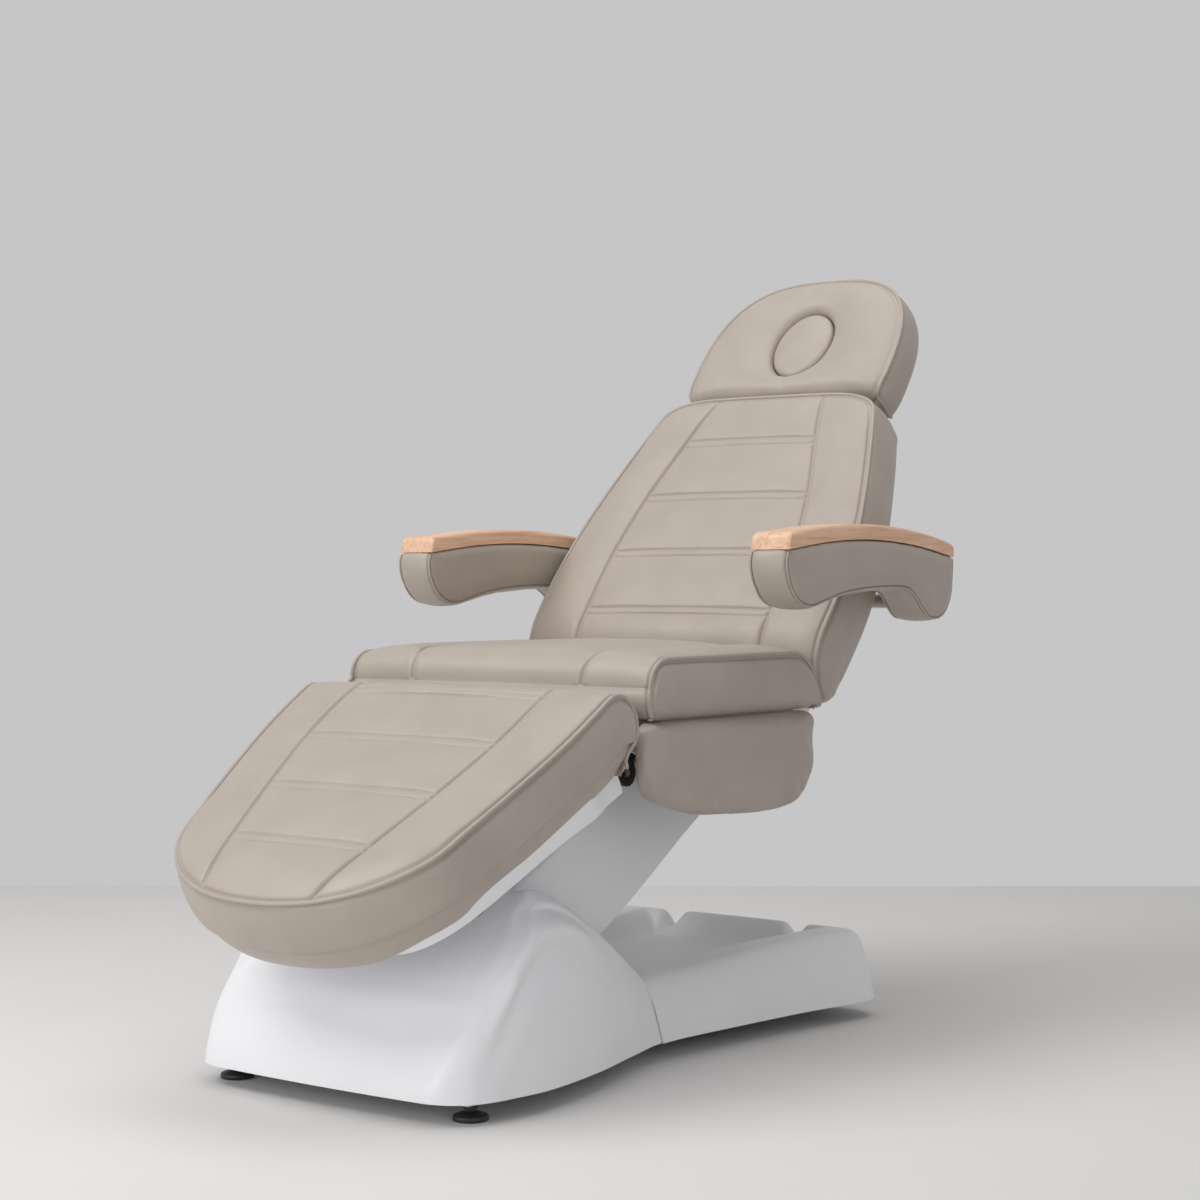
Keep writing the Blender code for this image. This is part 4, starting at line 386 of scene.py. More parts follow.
def modified(item, kind, **settings):
    """Give a piece one modifier and apply it."""
    modifier = item.modifiers.new("shaping", kind)
    for name, value in settings.items():
        setattr(modifier, name, value)
    graph = bpy.context.evaluated_depsgraph_get()
    mesh = bpy.data.meshes.new_from_object(
        item.evaluated_get(graph), preserve_all_data_layers=True, depsgraph=graph)
    old = item.data
    item.modifiers.clear()
    item.data = mesh
    bpy.data.meshes.remove(old)
    mesh.shade_smooth()


def subdivided(item):
    """Round a cover off by one subdivision and close its flat ends."""
    modified(item, "SUBSURF", levels=1)
    work = bmesh.new()
    work.from_mesh(item.data)
    bmesh.ops.holes_fill(work, edges=[edge for edge in work.edges if edge.is_boundary])
    work.to_mesh(item.data)
    work.free()
    item.data.shade_smooth()


def creased(item, degrees):
    item.data.set_sharp_from_angle(angle=math.radians(degrees))


def store(mesh, name, values):
    attribute = mesh.attributes.new(name, "FLOAT", "POINT")
    attribute.data.foreach_set("value", values)


def stored(mesh, name):
    values = [0.0] * len(mesh.vertices)
    mesh.attributes[name].data.foreach_get("value", values)
    return values


def drop_stored(mesh, *names):
    for name in names:
        mesh.attributes.remove(mesh.attributes[name])


def tube(name, path, radius, sides=10):
    """A round cord along a path, with rounded ends."""
    count = len(path)
    tangents = [(path[min(i + 1, count - 1)] - path[max(i - 1, 0)]).normalized() for i in range(count)]
    side = tangents[0].orthogonal().normalized()
    rings = []
    for index, (point, tangent) in enumerate(zip(path, tangents)):
        side = (side - tangent * side.dot(tangent)).normalized()
        up = tangent.cross(side)
        reach = radius * (0.55 if index in (0, count - 1) else 1.0)
        rings.append([point + (side * cosine + up * sine) * reach for cosine, sine in circle(sides)])
    return ring_item(name, rings)


def turned(name, profile, centre, sides=40):
    """A turned piece from (radius, height) points that run from its top to its bottom."""
    x, y, z = centre
    rings = []
    for radius, height in profile:
        ring = [(x + radius * cosine, y + radius * sine, z + height) for cosine, sine in circle(sides)]
        rings.append(ring)
    item = ring_item(name, rings)
    creased(item, 35)
    return item


# Stuffing and sewing

def inflate(item, held, reach, pressure=CLOTH_PRESSURE):
    """Swell a cover as cloth under pressure: held points stay and the others move by at most the reach."""
    scene = bpy.context.scene
    group = item.vertex_groups.new(name="held")
    group.add(held, 1.0, "REPLACE")
    cloth = item.modifiers.new("stuffing", "CLOTH")
    settings = cloth.settings
    settings.quality = 5
    settings.mass = 0.3
    settings.tension_stiffness = 15.0
    settings.compression_stiffness = 15.0
    settings.shear_stiffness = 5.0
    settings.bending_stiffness = 0.5
    settings.vertex_group_mass = group.name
    settings.use_pressure = True
    settings.uniform_pressure_force = pressure
    settings.effector_weights.gravity = 0.0
    cloth.collision_settings.use_collision = False
    cloth.point_cache.frame_start = 1
    cloth.point_cache.frame_end = CLOTH_FRAMES
    for step in range(1, CLOTH_FRAMES + 1):
        scene.frame_set(step)
    swollen = item.evaluated_get(bpy.context.evaluated_depsgraph_get())
    targets = [vertex.co.copy() for vertex in swollen.data.vertices]
    item.modifiers.remove(cloth)
    item.vertex_groups.remove(group)
    scene.frame_set(1)
    for vertex, target in zip(item.data.vertices, targets):
        shift = target - vertex.co
        if shift.length > 1e-7:
            vertex.co += shift * (reach * math.tanh(shift.length / reach) / shift.length)


def arc_rows(edge, roll, inwards):
    """Rows round a rolled edge from its lowest line inwards, as (distance along, drop)."""
    length, drop = roll
    count = max(8, round((length + drop) / CELL))
    turns = [math.pi / 2 * (1 - step / count) for step in range(count)]
    return [(edge + inwards * length * (1 - math.sin(t)), drop * (1 - math.cos(t))) for t in turns]


def cushion_rows(shape):
    """Rows along a cushion, close together at its seams and rolled edges."""
    keys = [shape.start + shape.start_roll[0], shape.end - shape.end_roll[0]]
    for stitch in shape.stitches:
        for line in (-TWIN_SEAM, TWIN_SEAM):
            keys += [stitch + line + step for step in SEAM_STEPS]
    if not shape.rolled_end:
        keys += [shape.end - step for step in EDGE_STEPS]
    rows = arc_rows(shape.start, shape.start_roll, 1) + [(along, 0.0) for along in spaced(keys, CELL)]
    if shape.rolled_end:
        rows += reversed(arc_rows(shape.end, shape.end_roll, -1))
    return rows


def cushion_columns(shape):
    """Columns across a cushion: 0 in its middle, 1 on the long seam and 2 on the piped edge."""
    middle = (shape.start + shape.end) / 2
    inner = shape.seam(middle)
    outer = shape.half_width(middle) - inner
    inside = [0.0] + [inner + step for step in SEAM_STEPS if step <= 0]
    outside = [step for step in SEAM_STEPS if step >= 0] + [outer - step for step in EDGE_STEPS] + [outer]
    half = [value / inner for value in spaced(inside, CELL)]
    half += [1 + value / outer for value in spaced(outside, CELL)][1:]
    return mirrored(half)


def field_puff(along, shape):
    """0 on a cross seam and 1 in the middle of the field between two seams."""
    marks = [shape.start] + list(shape.stitches) + [shape.end]
    for first, second in zip(marks, marks[1:]):
        if first <= along <= second:
            return 1 - abs(2 * (along - first) / (second - first) - 1) ** 6
    return 0.0


def cushion_point(shape, along, drop, column):
    across = abs(column)
    depth, power, root = shape.bow
    last_mark = shape.stitches[-1] if shape.stitches else (shape.start + shape.end) / 2
    edge_mark = last_mark - 1.1 * depth
    inner = shape.seam(along)
    outer = shape.half_width(along - depth * smooth_step(edge_mark, shape.end, along))
    x = inner * across if across <= 1 else inner + (outer - inner) * (across - 1)
    share = x / outer
    mark = last_mark + (edge_mark - last_mark) * smooth_step(1.0, 2.0, across)
    rounding = 1 - max(1 - share ** power, 0.0) ** (1 / root)
    setback = depth * smooth_step(mark, shape.end, along) * rounding
    middle_field = (1 - across ** 6) * field_puff(along, shape) if across <= 1 else 0.0
    edge_field = 1 - abs(2 * (across - 1) - 1) ** 4 if across > 1 else 0.0
    ends = 1 - abs(2 * (along - shape.start) / (shape.end - shape.start) - 1) ** 8
    crown = CROWN * (1 - share ** 4) * ends + PUFF * ends * (middle_field + edge_field)
    return Vector((math.copysign(x, column), shape.sign * (along - setback), shape.face - drop + crown))


def sewn_cushion(shape):
    """A stuffed cushion with piped edges: it keeps the places of its seams for the later sewing."""
    rows = cushion_rows(shape)
    columns = cushion_columns(shape)
    width = len(columns)
    points = []
    marks = []
    for along, drop in rows:
        for column in columns:
            points.append(cushion_point(shape, along, drop, column))
            marks.append((along, column, 0.0))
    faces = grid_faces(len(rows), width)
    last_row = (len(rows) - 1) * width
    first_edge = list(range(width))
    right_edge = [row * width + width - 1 for row in range(1, len(rows))]
    end_edge = list(range(last_row + width - 2, last_row - 1, -1))
    left_edge = [row * width for row in range(len(rows) - 2, 0, -1)]
    rim = first_edge + right_edge + end_edge + left_edge
    plan = [(points[i].x, points[i].y) for i in rim]
    area = sum(a[0] * b[1] - b[0] * a[1] for a, b in zip(plan, plan[1:] + plan[:1]))
    outwards = math.copysign(1.0, area)
    floor = shape.face - shape.thickness
    rings = [rim]
    for level in SIDE_LEVELS:
        moved = offset_outline(plan, outwards * smooth_through(shape.side, level))
        ring = []
        for (x, y), index in zip(moved, rim):
            edge = points[index]
            if shape.heel:
                near = 1 - smooth_step(0.0, 2.5 * shape.heel, shape.sign * edge.y - shape.start)
                y += shape.sign * shape.heel * near * level ** 1.6
            toe = smooth_step(0.84, 0.97, (shape.sign * edge.y - shape.start) / (shape.end - shape.start))
            low = floor - shape.toe_drop * toe
            ring.append(len(points))
            points.append(Vector((x, y, edge.z + (low - edge.z) * level)))
            marks.append((marks[index][0], marks[index][1], level))
        for index in range(len(ring)):
            following = (index + 1) % len(ring)
            faces.append((rings[-1][index], rings[-1][following], ring[following], ring[index]))
        rings.append(ring)
    item = make_item(shape.name, points, faces)
    for place, name in enumerate(("along", "column", "level")):
        store(item.data, name, [mark[place] for mark in marks])

    held = set(rim) | set(rings[-1]) | set(rings[-2])
    lines = [stitch + line for stitch in shape.stitches for line in (-TWIN_SEAM, TWIN_SEAM)]
    for j, (along, drop) in enumerate(rows):
        on_line = any(abs(along - line) < 1e-5 for line in lines)
        for i, column in enumerate(columns):
            if abs(abs(column) - 1) < 1e-4 or (on_line and abs(column) < 1):
                held.add(j * width + i)
    inflate(item, sorted(held), shape.swell)
    subdivided(item)
    shape.item = item
    shape.rim_paths = cushion_rim_paths(shape, rings, width, len(rows))
    sew_grooves(item, shape, lines)
    draw_in(item, shape.rim_paths, PIPING_GROOVE, 0.0022, 0.0058)
    return item


def sew_grooves(item, shape, lines):
    """Draw the cover in along its seams."""
    mesh = item.data
    along = stored(mesh, "along")
    column = stored(mesh, "column")
    level = stored(mesh, "level")
    normals = [Vector(normal.vector) for normal in mesh.vertex_normals]
    for vertex in mesh.vertices:
        index = vertex.index
        depth = 0.0
        if level[index] <= 0.0:
            across = abs(column[index])
            inner = shape.seam(along[index])
            outer = shape.half_width(along[index]) - inner
            from_seam = (across - 1) * (inner if across < 1 else outer)
            from_end = 1.0 if shape.rolled_end else shape.end - along[index]
            clear = smooth_step(0.002, 0.012, from_end)
            depth += SEAM_GROOVE * clear * bell(from_seam, SEAM_GROOVE_WIDTH)
            depth -= 0.0010 * clear * bell(abs(from_seam) - 0.009, 0.006)
            inside = 1 - smooth_step(-0.006, 0.0, from_seam)
            for line in lines:
                depth += STITCH_GROOVE * bell(along[index] - line, STITCH_GROOVE_WIDTH) * inside
            for stitch in shape.stitches:
                depth -= 0.0008 * bell(along[index] - stitch, 0.0040) * inside
        for seam_level in shape.side_seams:
            depth += SEAM_GROOVE * bell((level[index] - seam_level) * shape.thickness, SEAM_GROOVE_WIDTH)
        if depth:
            vertex.co -= normals[index] * depth
    drop_stored(mesh, "along", "column", "level")


def draw_in(item, paths, depth, width, beside=0.0):
    """Draw a cover in along seam paths, or on both sides of them."""
    points = [point for path in paths for point in resampled(path, 0.0015)]
    finder = KDTree(len(points))
    for index, point in enumerate(points):
        finder.insert(point, index)
    finder.balance()
    normals = [Vector(normal.vector) for normal in item.data.vertex_normals]
    for vertex in item.data.vertices:
        nearest, index, distance = finder.find(vertex.co)
        if distance < beside + 3 * width:
            vertex.co -= normals[vertex.index] * depth * bell(distance - beside, width)


def eased(path, repeats):
    """A path with its small kinks taken out."""
    for _ in range(repeats):
        middle = [(a + 2 * b + c) / 4 for a, b, c in zip(path, path[1:], path[2:])]
        path = [path[0]] + middle + [path[-1]]
    return path


def proud_point(mesh, index, share):
    """A point of a cover, moved out by a share of the piping's radius."""
    normal = Vector(mesh.vertex_normals[index].vector)
    return mesh.vertices[index].co + normal * (PIPING_RADIUS * share)


def cushion_rim_paths(shape, rings, width, row_count):
    """Paths of the piping: round the toe from one lower corner to the other, or along each side panel."""
    total = len(rings[0])
    right = list(range(width - 1, width - 1 + row_count))
    left = [0] + list(range(total - 1, total - row_count, -1))
    depth = len(rings) - 3 if shape.piped_ends else 1

    def at(ring, index):
        share = PIPING_SUNK if ring == depth else PIPING_PROUD
        return proud_point(shape.item.data, rings[ring][index], share)

    def with_ends(first, path, last):
        down = [at(ring, first) for ring in range(depth, 0, -1)]
        return down + path + [at(ring, last) for ring in range(1, depth + 1)]

    if shape.rolled_end:
        return [with_ends(side[0], [at(0, index) for index in side], side[-1]) for side in (left, right)]
    end = list(range(right[-1] + 1, left[-1]))
    path = eased([at(0, index) for index in right + end + left[::-1]], 6)
    return [with_ends(right[0], path, left[0])]


def pipe(name, paths):
    """Piping cords along rim paths, as one piece."""
    parts = [tube(name, resampled(path, 0.006), PIPING_RADIUS) for path in paths]
    return joined(name, parts)


def joined(name, parts):
    """Several meshes as one piece."""
    work = bmesh.new()
    for part in parts:
        work.from_mesh(part.data)
    mesh = bpy.data.meshes.new(name)
    work.to_mesh(mesh)
    work.free()
    for part in parts:
        old = part.data
        bpy.data.objects.remove(part, do_unlink=True)
        bpy.data.meshes.remove(old)
    item = bpy.data.objects.new(name, mesh)
    bpy.context.scene.collection.objects.link(item)
    mesh.shade_smooth()
    return item


def surface_tree(item):
    work = bmesh.new()
    work.from_mesh(item.data)
    tree = BVHTree.FromBMesh(work)
    work.free()
    return tree


def sew_thread(name, tree, runs):
    """Stitches along plan runs of (x, y) points, laid on the cushion's face from above."""
    points = []
    faces = []
    sides = 5
    down = Vector((0.0, 0.0, -1.0))
    for run in runs:
        line = resampled([(x, y, 1.0) for x, y in run], STITCH_PITCH)
        for first, second in zip(line, line[1:]):
            heading = (second - first).normalized()
            middle = (first + second) / 2
            hit, normal, face, distance = tree.ray_cast(middle, down)
            if hit is None or normal.z < 0.2:
                continue
            across = heading.cross(normal).normalized()
            forward = normal.cross(across).normalized()
            base = len(points)
            for along, lift in ((-0.5, -0.9), (-0.36, 0.25), (0.0, 0.55), (0.36, 0.25), (0.5, -0.9)):
                centre = hit + forward * (STITCH_LENGTH * along) + normal * (THREAD_RADIUS * lift)
                for cosine, sine in circle(sides):
                    points.append(centre + (across * cosine + normal * sine) * THREAD_RADIUS)
            faces += [[base + corner for corner in face] for face in ring_faces(sides, 5)]
    return make_item(name, points, faces)


def cushion_stitches(shape):
    """Plan runs of a cushion's stitches: twin lines across it and one line outside each long seam."""
    runs = []
    for stitch in shape.stitches:
        for line in (stitch - TWIN_SEAM, stitch + TWIN_SEAM):
            edge = shape.seam(line) - 0.004
            runs.append([(-edge, shape.sign * line), (edge, shape.sign * line)])
    first = shape.start + shape.start_roll[0] * 0.5
    last = shape.end - max(shape.end_roll[0] * 0.5, 0.012)
    for side in (-1, 1):
        run = []
        for step in range(41):
            along = first + (last - first) * step / 40
            point = cushion_point(shape, along, 0.0, 1.0)
            run.append((side * (point.x + 0.0045), point.y))
        runs.append(run)
    return runs


# Materials

class Surface:
    """A material being made: a Principled shader fed by nodes in the piece's own coordinates."""

    def __init__(self, name, colour, roughness, metallic=0.0):
        self.material = bpy.data.materials.new(name)
        self.material.use_nodes = True
        self.nodes = self.material.node_tree.nodes
        self.links = self.material.node_tree.links
        self.shader = self.nodes["Principled BSDF"]
        self.colour = colour
        self.roughness = roughness
        self.shader.inputs["Metallic"].default_value = metallic
        self.place = self.nodes.new("ShaderNodeTexCoord").outputs["Object"]
        self.normal = None

    def stretched(self, scale):
        mapping = self.nodes.new("ShaderNodeMapping")
        mapping.inputs["Scale"].default_value = scale
        self.links.new(self.place, mapping.inputs["Vector"])
        return mapping.outputs["Vector"]

    def noise(self, scale, detail=2.0, place=None, distortion=0.0):
        node = self.nodes.new("ShaderNodeTexNoise")
        node.inputs["Scale"].default_value = scale
        node.inputs["Detail"].default_value = detail
        node.inputs["Distortion"].default_value = distortion
        self.links.new(place or self.place, node.inputs["Vector"])
        return node.outputs["Fac"]

    def cells(self, scale):
        node = self.nodes.new("ShaderNodeTexVoronoi")
        node.feature = "SMOOTH_F1"
        node.inputs["Scale"].default_value = scale
        self.links.new(self.place, node.inputs["Vector"])
        return node.outputs["Distance"]

    def tint(self, amount, low, high, start=0.35, stop=0.65):
        """Base colour that runs between two tints of the colour."""
        ramp = self.nodes.new("ShaderNodeValToRGB")
        for element, place, tint in zip(ramp.color_ramp.elements, (start, stop), (low, high)):
            element.position = place
            element.color = (*tint, 1.0)
        self.links.new(amount, ramp.inputs["Fac"])
        self.links.new(ramp.outputs["Color"], self.shader.inputs["Base Color"])

    def shades(self, amount, spread):
        low = [channel * (1 - spread) for channel in self.colour]
        high = [channel * (1 + spread) for channel in self.colour]
        self.tint(amount, low, high)

    def polish(self, amount, spread):
        """Roughness that runs about its middle value."""
        node = self.nodes.new("ShaderNodeMapRange")
        node.inputs["To Min"].default_value = self.roughness - spread
        node.inputs["To Max"].default_value = self.roughness + spread
        self.links.new(amount, node.inputs["Value"])
        self.links.new(node.outputs["Result"], self.shader.inputs["Roughness"])

    def bump(self, height, strength, distance):
        node = self.nodes.new("ShaderNodeBump")
        node.inputs["Strength"].default_value = strength
        node.inputs["Distance"].default_value = distance
        self.links.new(height, node.inputs["Height"])
        if self.normal:
            self.links.new(self.normal, node.inputs["Normal"])
        self.normal = node.outputs["Normal"]
        self.links.new(self.normal, self.shader.inputs["Normal"])


def leather():
    made = Surface("leather", (0.430, 0.372, 0.319), 0.42)
    made.shades(made.noise(14.0, 4.0), 0.035)
    made.polish(made.noise(60.0, 3.0), 0.06)
    made.bump(made.noise(55.0, 3.0), 0.10, 0.0012)
    made.bump(made.cells(950.0), 0.16, 0.0003)
    made.shader.inputs["Sheen Weight"].default_value = 0.04
    return made.material


def plain(name, colour, roughness, shade, polish, bump):
    """One even colour, with a noise's scale and detail before each spread and before the bump's height."""
    made = Surface(name, colour, roughness)
    made.shades(made.noise(*shade[:2]), shade[2])
    made.polish(made.noise(*polish[:2]), polish[2])
    made.bump(made.noise(*bump[:2]), *bump[2:])
    return made.material


def painted_steel(name, colour, roughness):
    return plain(name, colour, roughness, (20.0, 3.0, 0.03), (120.0, 2.0, 0.05), (520.0, 1.0, 0.10, 0.0004))


def bare_steel():
    made = Surface("bare_steel", (0.56, 0.56, 0.57), 0.30, 1.0)
    brushed = made.stretched((1.0, 30.0, 30.0))
    made.shades(made.noise(40.0, 2.0, brushed), 0.06)
    made.polish(made.noise(60.0, 3.0, brushed), 0.10)
    made.bump(made.noise(90.0, 2.0, brushed), 0.06, 0.0002)
    return made.material


def beech():
    made = Surface("beech", (0.70, 0.44, 0.26), 0.40)
    grain = made.stretched((1.0, 0.07, 1.0))
    made.tint(made.noise(75.0, 5.0, grain, 1.2), (0.650, 0.365, 0.220), (0.840, 0.565, 0.385), 0.28, 0.62)
    pores = made.stretched((1.0, 0.035, 1.0))
    made.polish(made.noise(260.0, 3.0, pores), 0.08)
    made.bump(made.noise(620.0, 2.0, pores), 0.10, 0.0003)
    return made.material


def plywood():
    made = Surface("plywood", (0.60, 0.46, 0.31), 0.70)
    grain = made.stretched((1.0, 0.1, 6.0))
    made.tint(made.noise(60.0, 4.0, grain, 0.8), (0.50, 0.36, 0.23), (0.66, 0.52, 0.36))
    made.polish(made.noise(200.0), 0.06)
    made.bump(made.noise(500.0), 0.12, 0.0004)
    return made.material


LOOKS = {
    "leather": leather(),
    "white_moulding": plain(
        "white_moulding", (0.87, 0.87, 0.895), 0.36,
        (7.0, 3.0, 0.010), (90.0, 3.0, 0.05), (1400.0, 2.0, 0.14, 0.0004)),
    "white_steel": painted_steel("white_steel", (0.78, 0.78, 0.79), 0.38),
    "black_steel": painted_steel("black_steel", (0.018, 0.018, 0.019), 0.42),
    "bare_steel": bare_steel(),
    "beech": beech(),
    "plywood": plywood(),
    "black_plastic": plain(
        "black_plastic", (0.022, 0.022, 0.023), 0.45,
        (30.0, 2.0, 0.15), (200.0, 2.0, 0.07), (1100.0, 2.0, 0.15, 0.0003)),
}
THREAD = plain(
    "thread", (0.50, 0.445, 0.392), 0.62, (900.0, 2.0, 0.08), (500.0, 2.0, 0.05), (4000.0, 2.0, 0.3, 0.0002))


def finish_piece(item, body, slot, place=None, nodes=(), look=None):
    """Set a piece in its joint's frame, give it its material and hand it to its body."""
    if place is not None:
        item.data.transform(place)
    item.data.materials.clear()
    item.data.materials.append(look or LOOKS[slot])
    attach(item, body)
    if nodes:
        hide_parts(*nodes)


for part in frame["record"]["subparts"]:
    node = frame["nodes"][part["node"]]
    node.data.materials.clear()
    node.data.materials.append(LOOKS[part["material_slot"]])


def moulded_sheet(name, grid, skip, body, place, node):
    """A moulded cover from a grid of points, thickened inwards."""
    width = len(grid[0])
    faces = [face for face in grid_faces(len(grid), width) if not skip(face[0] % width, face[0] // width)]
    used = sorted(set(index for face in faces for index in face))
    renumbered = {old: new for new, old in enumerate(used)}
    flat = [point for row in grid for point in row]
    points = [flat[index] for index in used]
    item = make_item(name, points, [[renumbered[index] for index in face] for face in faces])
    modified(item, "SOLIDIFY", thickness=COVER_WALL, offset=-1.0)
    creased(item, 50)
    finish_piece(item, body, "white_moulding", place, [node])


# Places of the joints

HINGES = {joint["name"]: joint["pos_m"] for joint in frame["joints"] if joint["type"] == "hinge"}


def place_at(joint, angle=0.0):
    x, y, z = HINGES[joint]
    return Matrix.Translation((0.0, y, z)) @ Matrix.Rotation(angle, 4, "X")


SEAT = place_at("seat_level")
LEG = place_at("leg_raise", LEG_DROP)
BACK = place_at("back_recline", BACK_RISE)
HEAD = place_at("headrest_tilt", BACK_RISE)
ARMREST = place_at("armrest_left_swing")
LIFT_Y, LIFT_Z = HINGES["lift"][1:]
SEAT_Y, SEAT_Z = HINGES["seat_level"][1:]
ARM = place_at("lift", math.atan2(SEAT_Z - LIFT_Z, SEAT_Y - LIFT_Y))
BASE_Y = LIFT_Y - LIFT_PIVOT_Y
BASE = Matrix.Translation((0.0, BASE_Y, 0.0))


# Seat, leg rest and backrest

def upholster(shape, body, node, place):
    """Cushion, piping and stitches of one rest."""
    cushion = sewn_cushion(shape)
    piping = pipe(shape.name + "_piping", shape.rim_paths)
    stitching = sew_thread(shape.name + "_stitching", surface_tree(cushion), cushion_stitches(shape))
    finish_piece(cushion, body, "leather", place, [node])
    finish_piece(piping, body, "leather", place)
    finish_piece(stitching, body, "leather", place, look=THREAD)


upholster(SimpleNamespace(
    name="leg_upholstery", start=LEG_START, end=LEG_END, sign=-1, face=LEG_FACE, thickness=LEG_THICKNESS,
    half_width=curve_of(LEG_WIDTHS), seam=curve_of(LEG_SEAMS), stitches=LEG_STITCHES, bow=(0.155, 2.2, 1.8),
    start_roll=(0.034, 0.034), end_roll=(0.0, 0.0), rolled_end=False, heel=0.056, swell=0.005, side=LEG_SIDE,
    side_seams=(0.69,), toe_drop=0.014, piped_ends=True,
), "leg_rest", "leg_cushion", LEG)

upholster(SimpleNamespace(
    name="back_upholstery", start=BACK_START, end=BACK_END, sign=1, face=BACK_FACE, thickness=BACK_THICKNESS,
    half_width=curve_of(BACK_WIDTHS), seam=curve_of(BACK_SEAMS), stitches=BACK_STITCHES,
    bow=(0.045, 6.0, 2.0), start_roll=(0.096, 0.070), end_roll=(0.0, 0.0), rolled_end=False, heel=0.032,
    swell=0.005, side=BACK_SIDE, side_seams=(), toe_drop=0.0, piped_ends=False,
), "backrest", "back_cushion", BACK)


def seat_seam(along):
    middle = (SEAT_FRONT + SEAT_REAR) / 2
    half = (SEAT_REAR - SEAT_FRONT) / 2
    return SEAT_SEAM_X * (1 - 0.12 * ((along - middle) / half) ** 2)


upholster(SimpleNamespace(
    name="seat_upholstery", start=SEAT_FRONT, end=SEAT_REAR, sign=1, face=SEAT_TOP, thickness=SEAT_HEIGHT,
    half_width=lambda along: SEAT_HALF_WIDTH, seam=seat_seam, stitches=(), start_roll=(0.040, 0.040),
    end_roll=(0.072, 0.072), rolled_end=True, bow=(0.0, 1.0, 1.0), heel=0.0, swell=0.004, side=SOFT_SIDE,
    side_seams=(), toe_drop=0.0, piped_ends=True,
), "seat", "seat_cushion", SEAT)


def side_cushion(side, sign):
    length = SIDE_REAR - SIDE_FRONT
    outline = filleted((
        (SIDE_FRONT, SIDE_BOTTOM + 0.047, 0.050), (SIDE_FRONT + 0.30 * length, SIDE_BOTTOM + 0.010, 0.300),
        (SIDE_FRONT + 0.66 * length, SIDE_BOTTOM, 0.300), (SIDE_REAR, SIDE_BOTTOM + 0.006, 0.088),
        (SIDE_REAR, SIDE_TOP, 0.022), (SIDE_FRONT, SIDE_TOP, 0.022),
    ), 14)
    rings = []
    for inset, x in (
        (0.010, SIDE_INNER_X), (0.003, SIDE_INNER_X + 0.002), (0.0, SIDE_INNER_X + 0.006),
        (0.0, SIDE_OUTER_X - 0.014), (0.002, SIDE_OUTER_X - 0.008), (0.007, SIDE_OUTER_X - 0.002),
        (0.016, SIDE_OUTER_X),
    ):
        rings.append([(sign * x, y, z) for y, z in offset_outline(outline, -inset)])
    item = ring_item("side_upholstery_" + side, rings)
    modified(item, "REMESH", mode="VOXEL", voxel_size=0.005)
    held = [v.index for v in item.data.vertices if abs(v.co.x) < SIDE_INNER_X + 0.006]
    inflate(item, held, 0.005)
    modified(item, "SMOOTH", factor=0.5, iterations=4)
    subdivided(item)
    finish_piece(item, "seat", "leather", SEAT, ["side_cushion_" + side])


side_cushion("left", -1)
side_cushion("right", 1)


def leg_pan():
    """The moulded pan under the leg rest, from its open hinge end to its toe."""
    first, last = PAN_WIDTHS[0][0], PAN_WIDTHS[-1][0]
    grid = []
    for step in range(81):
        along = first + (last - first) * (1 - (1 - step / 80) ** 1.6)
        half = smooth_through(PAN_WIDTHS, along)
        edge = -smooth_through(PAN_EDGES, along)
        low = -smooth_through(PAN_DEPTHS, along)
        rim = smooth_through(PAN_RIMS, along)
        right = filleted((
            (0.0, low, 0.0), (half * 0.72, low, 0.050 * half),
            (half - 0.004, edge, 0.030 * half), (half, rim, 0.0),
        ), 7)
        grid.append([(x, -along, z) for x, z in both_sides(right)])
    moulded_sheet("leg_pan_moulding", grid, lambda i, j: False, "leg_rest", LEG, "leg_pan")


def lift_arm_cover():
    """The moulded cover of the lift arm, drawn on under the leg rest towards its pivot."""
    end = 0.500
    nose = 0.008
    nose_end = 0.030
    corners = ((-0.1, 0.085, 0.0), (0.380, 0.085, 0.020), (end, -0.020, 0.0), (end, -0.1, 0.0))
    top_line = filleted(corners, 8)[:-1]
    bottom_line = ((nose, 0.050), (nose_end, 0.040), (0.062, 0.010), (0.070, -0.080), (end, -0.080))
    rows = spaced((nose, nose_end, 0.062, 0.070, 0.380, end), 0.006)
    grid = []
    for along in rows:
        top = smooth_through(top_line, along) - rolled(along - nose, 0.022)
        bottom = smooth_through(bottom_line, along)
        side = ARM_COVER_HALF_WIDTH
        right = filleted(((0.0, top, 0.0), (side, top, 0.010), (side, bottom, 0.0)), 6)
        grid.append([(x, along, z) for x, z in both_sides(right)])
    middle = len(grid[0]) // 2

    def open_nose(column, row):
        return column in (middle - 1, middle) and rows[row] < nose_end - 0.0001

    moulded_sheet("lift_arm_moulding", grid, open_nose, "lift_arm", ARM, "lift_arm_cover")


# Headrest

def head_half_width(along):
    """Half the headrest's width: widest a little above its lower edge, under an arched top."""
    if along <= HEAD_WIDEST:
        share = (HEAD_WIDEST - along) / (HEAD_WIDEST - HEAD_START)
        return HEAD_HALF_WIDTH - (HEAD_HALF_WIDTH - HEAD_BOTTOM_HALF_WIDTH) * share ** 2
    rise = (along - HEAD_WIDEST) / (HEAD_END - HEAD_WIDEST)
    return HEAD_HALF_WIDTH * max(1 - rise ** 2.7, 0.0) ** (1 / 3.0)


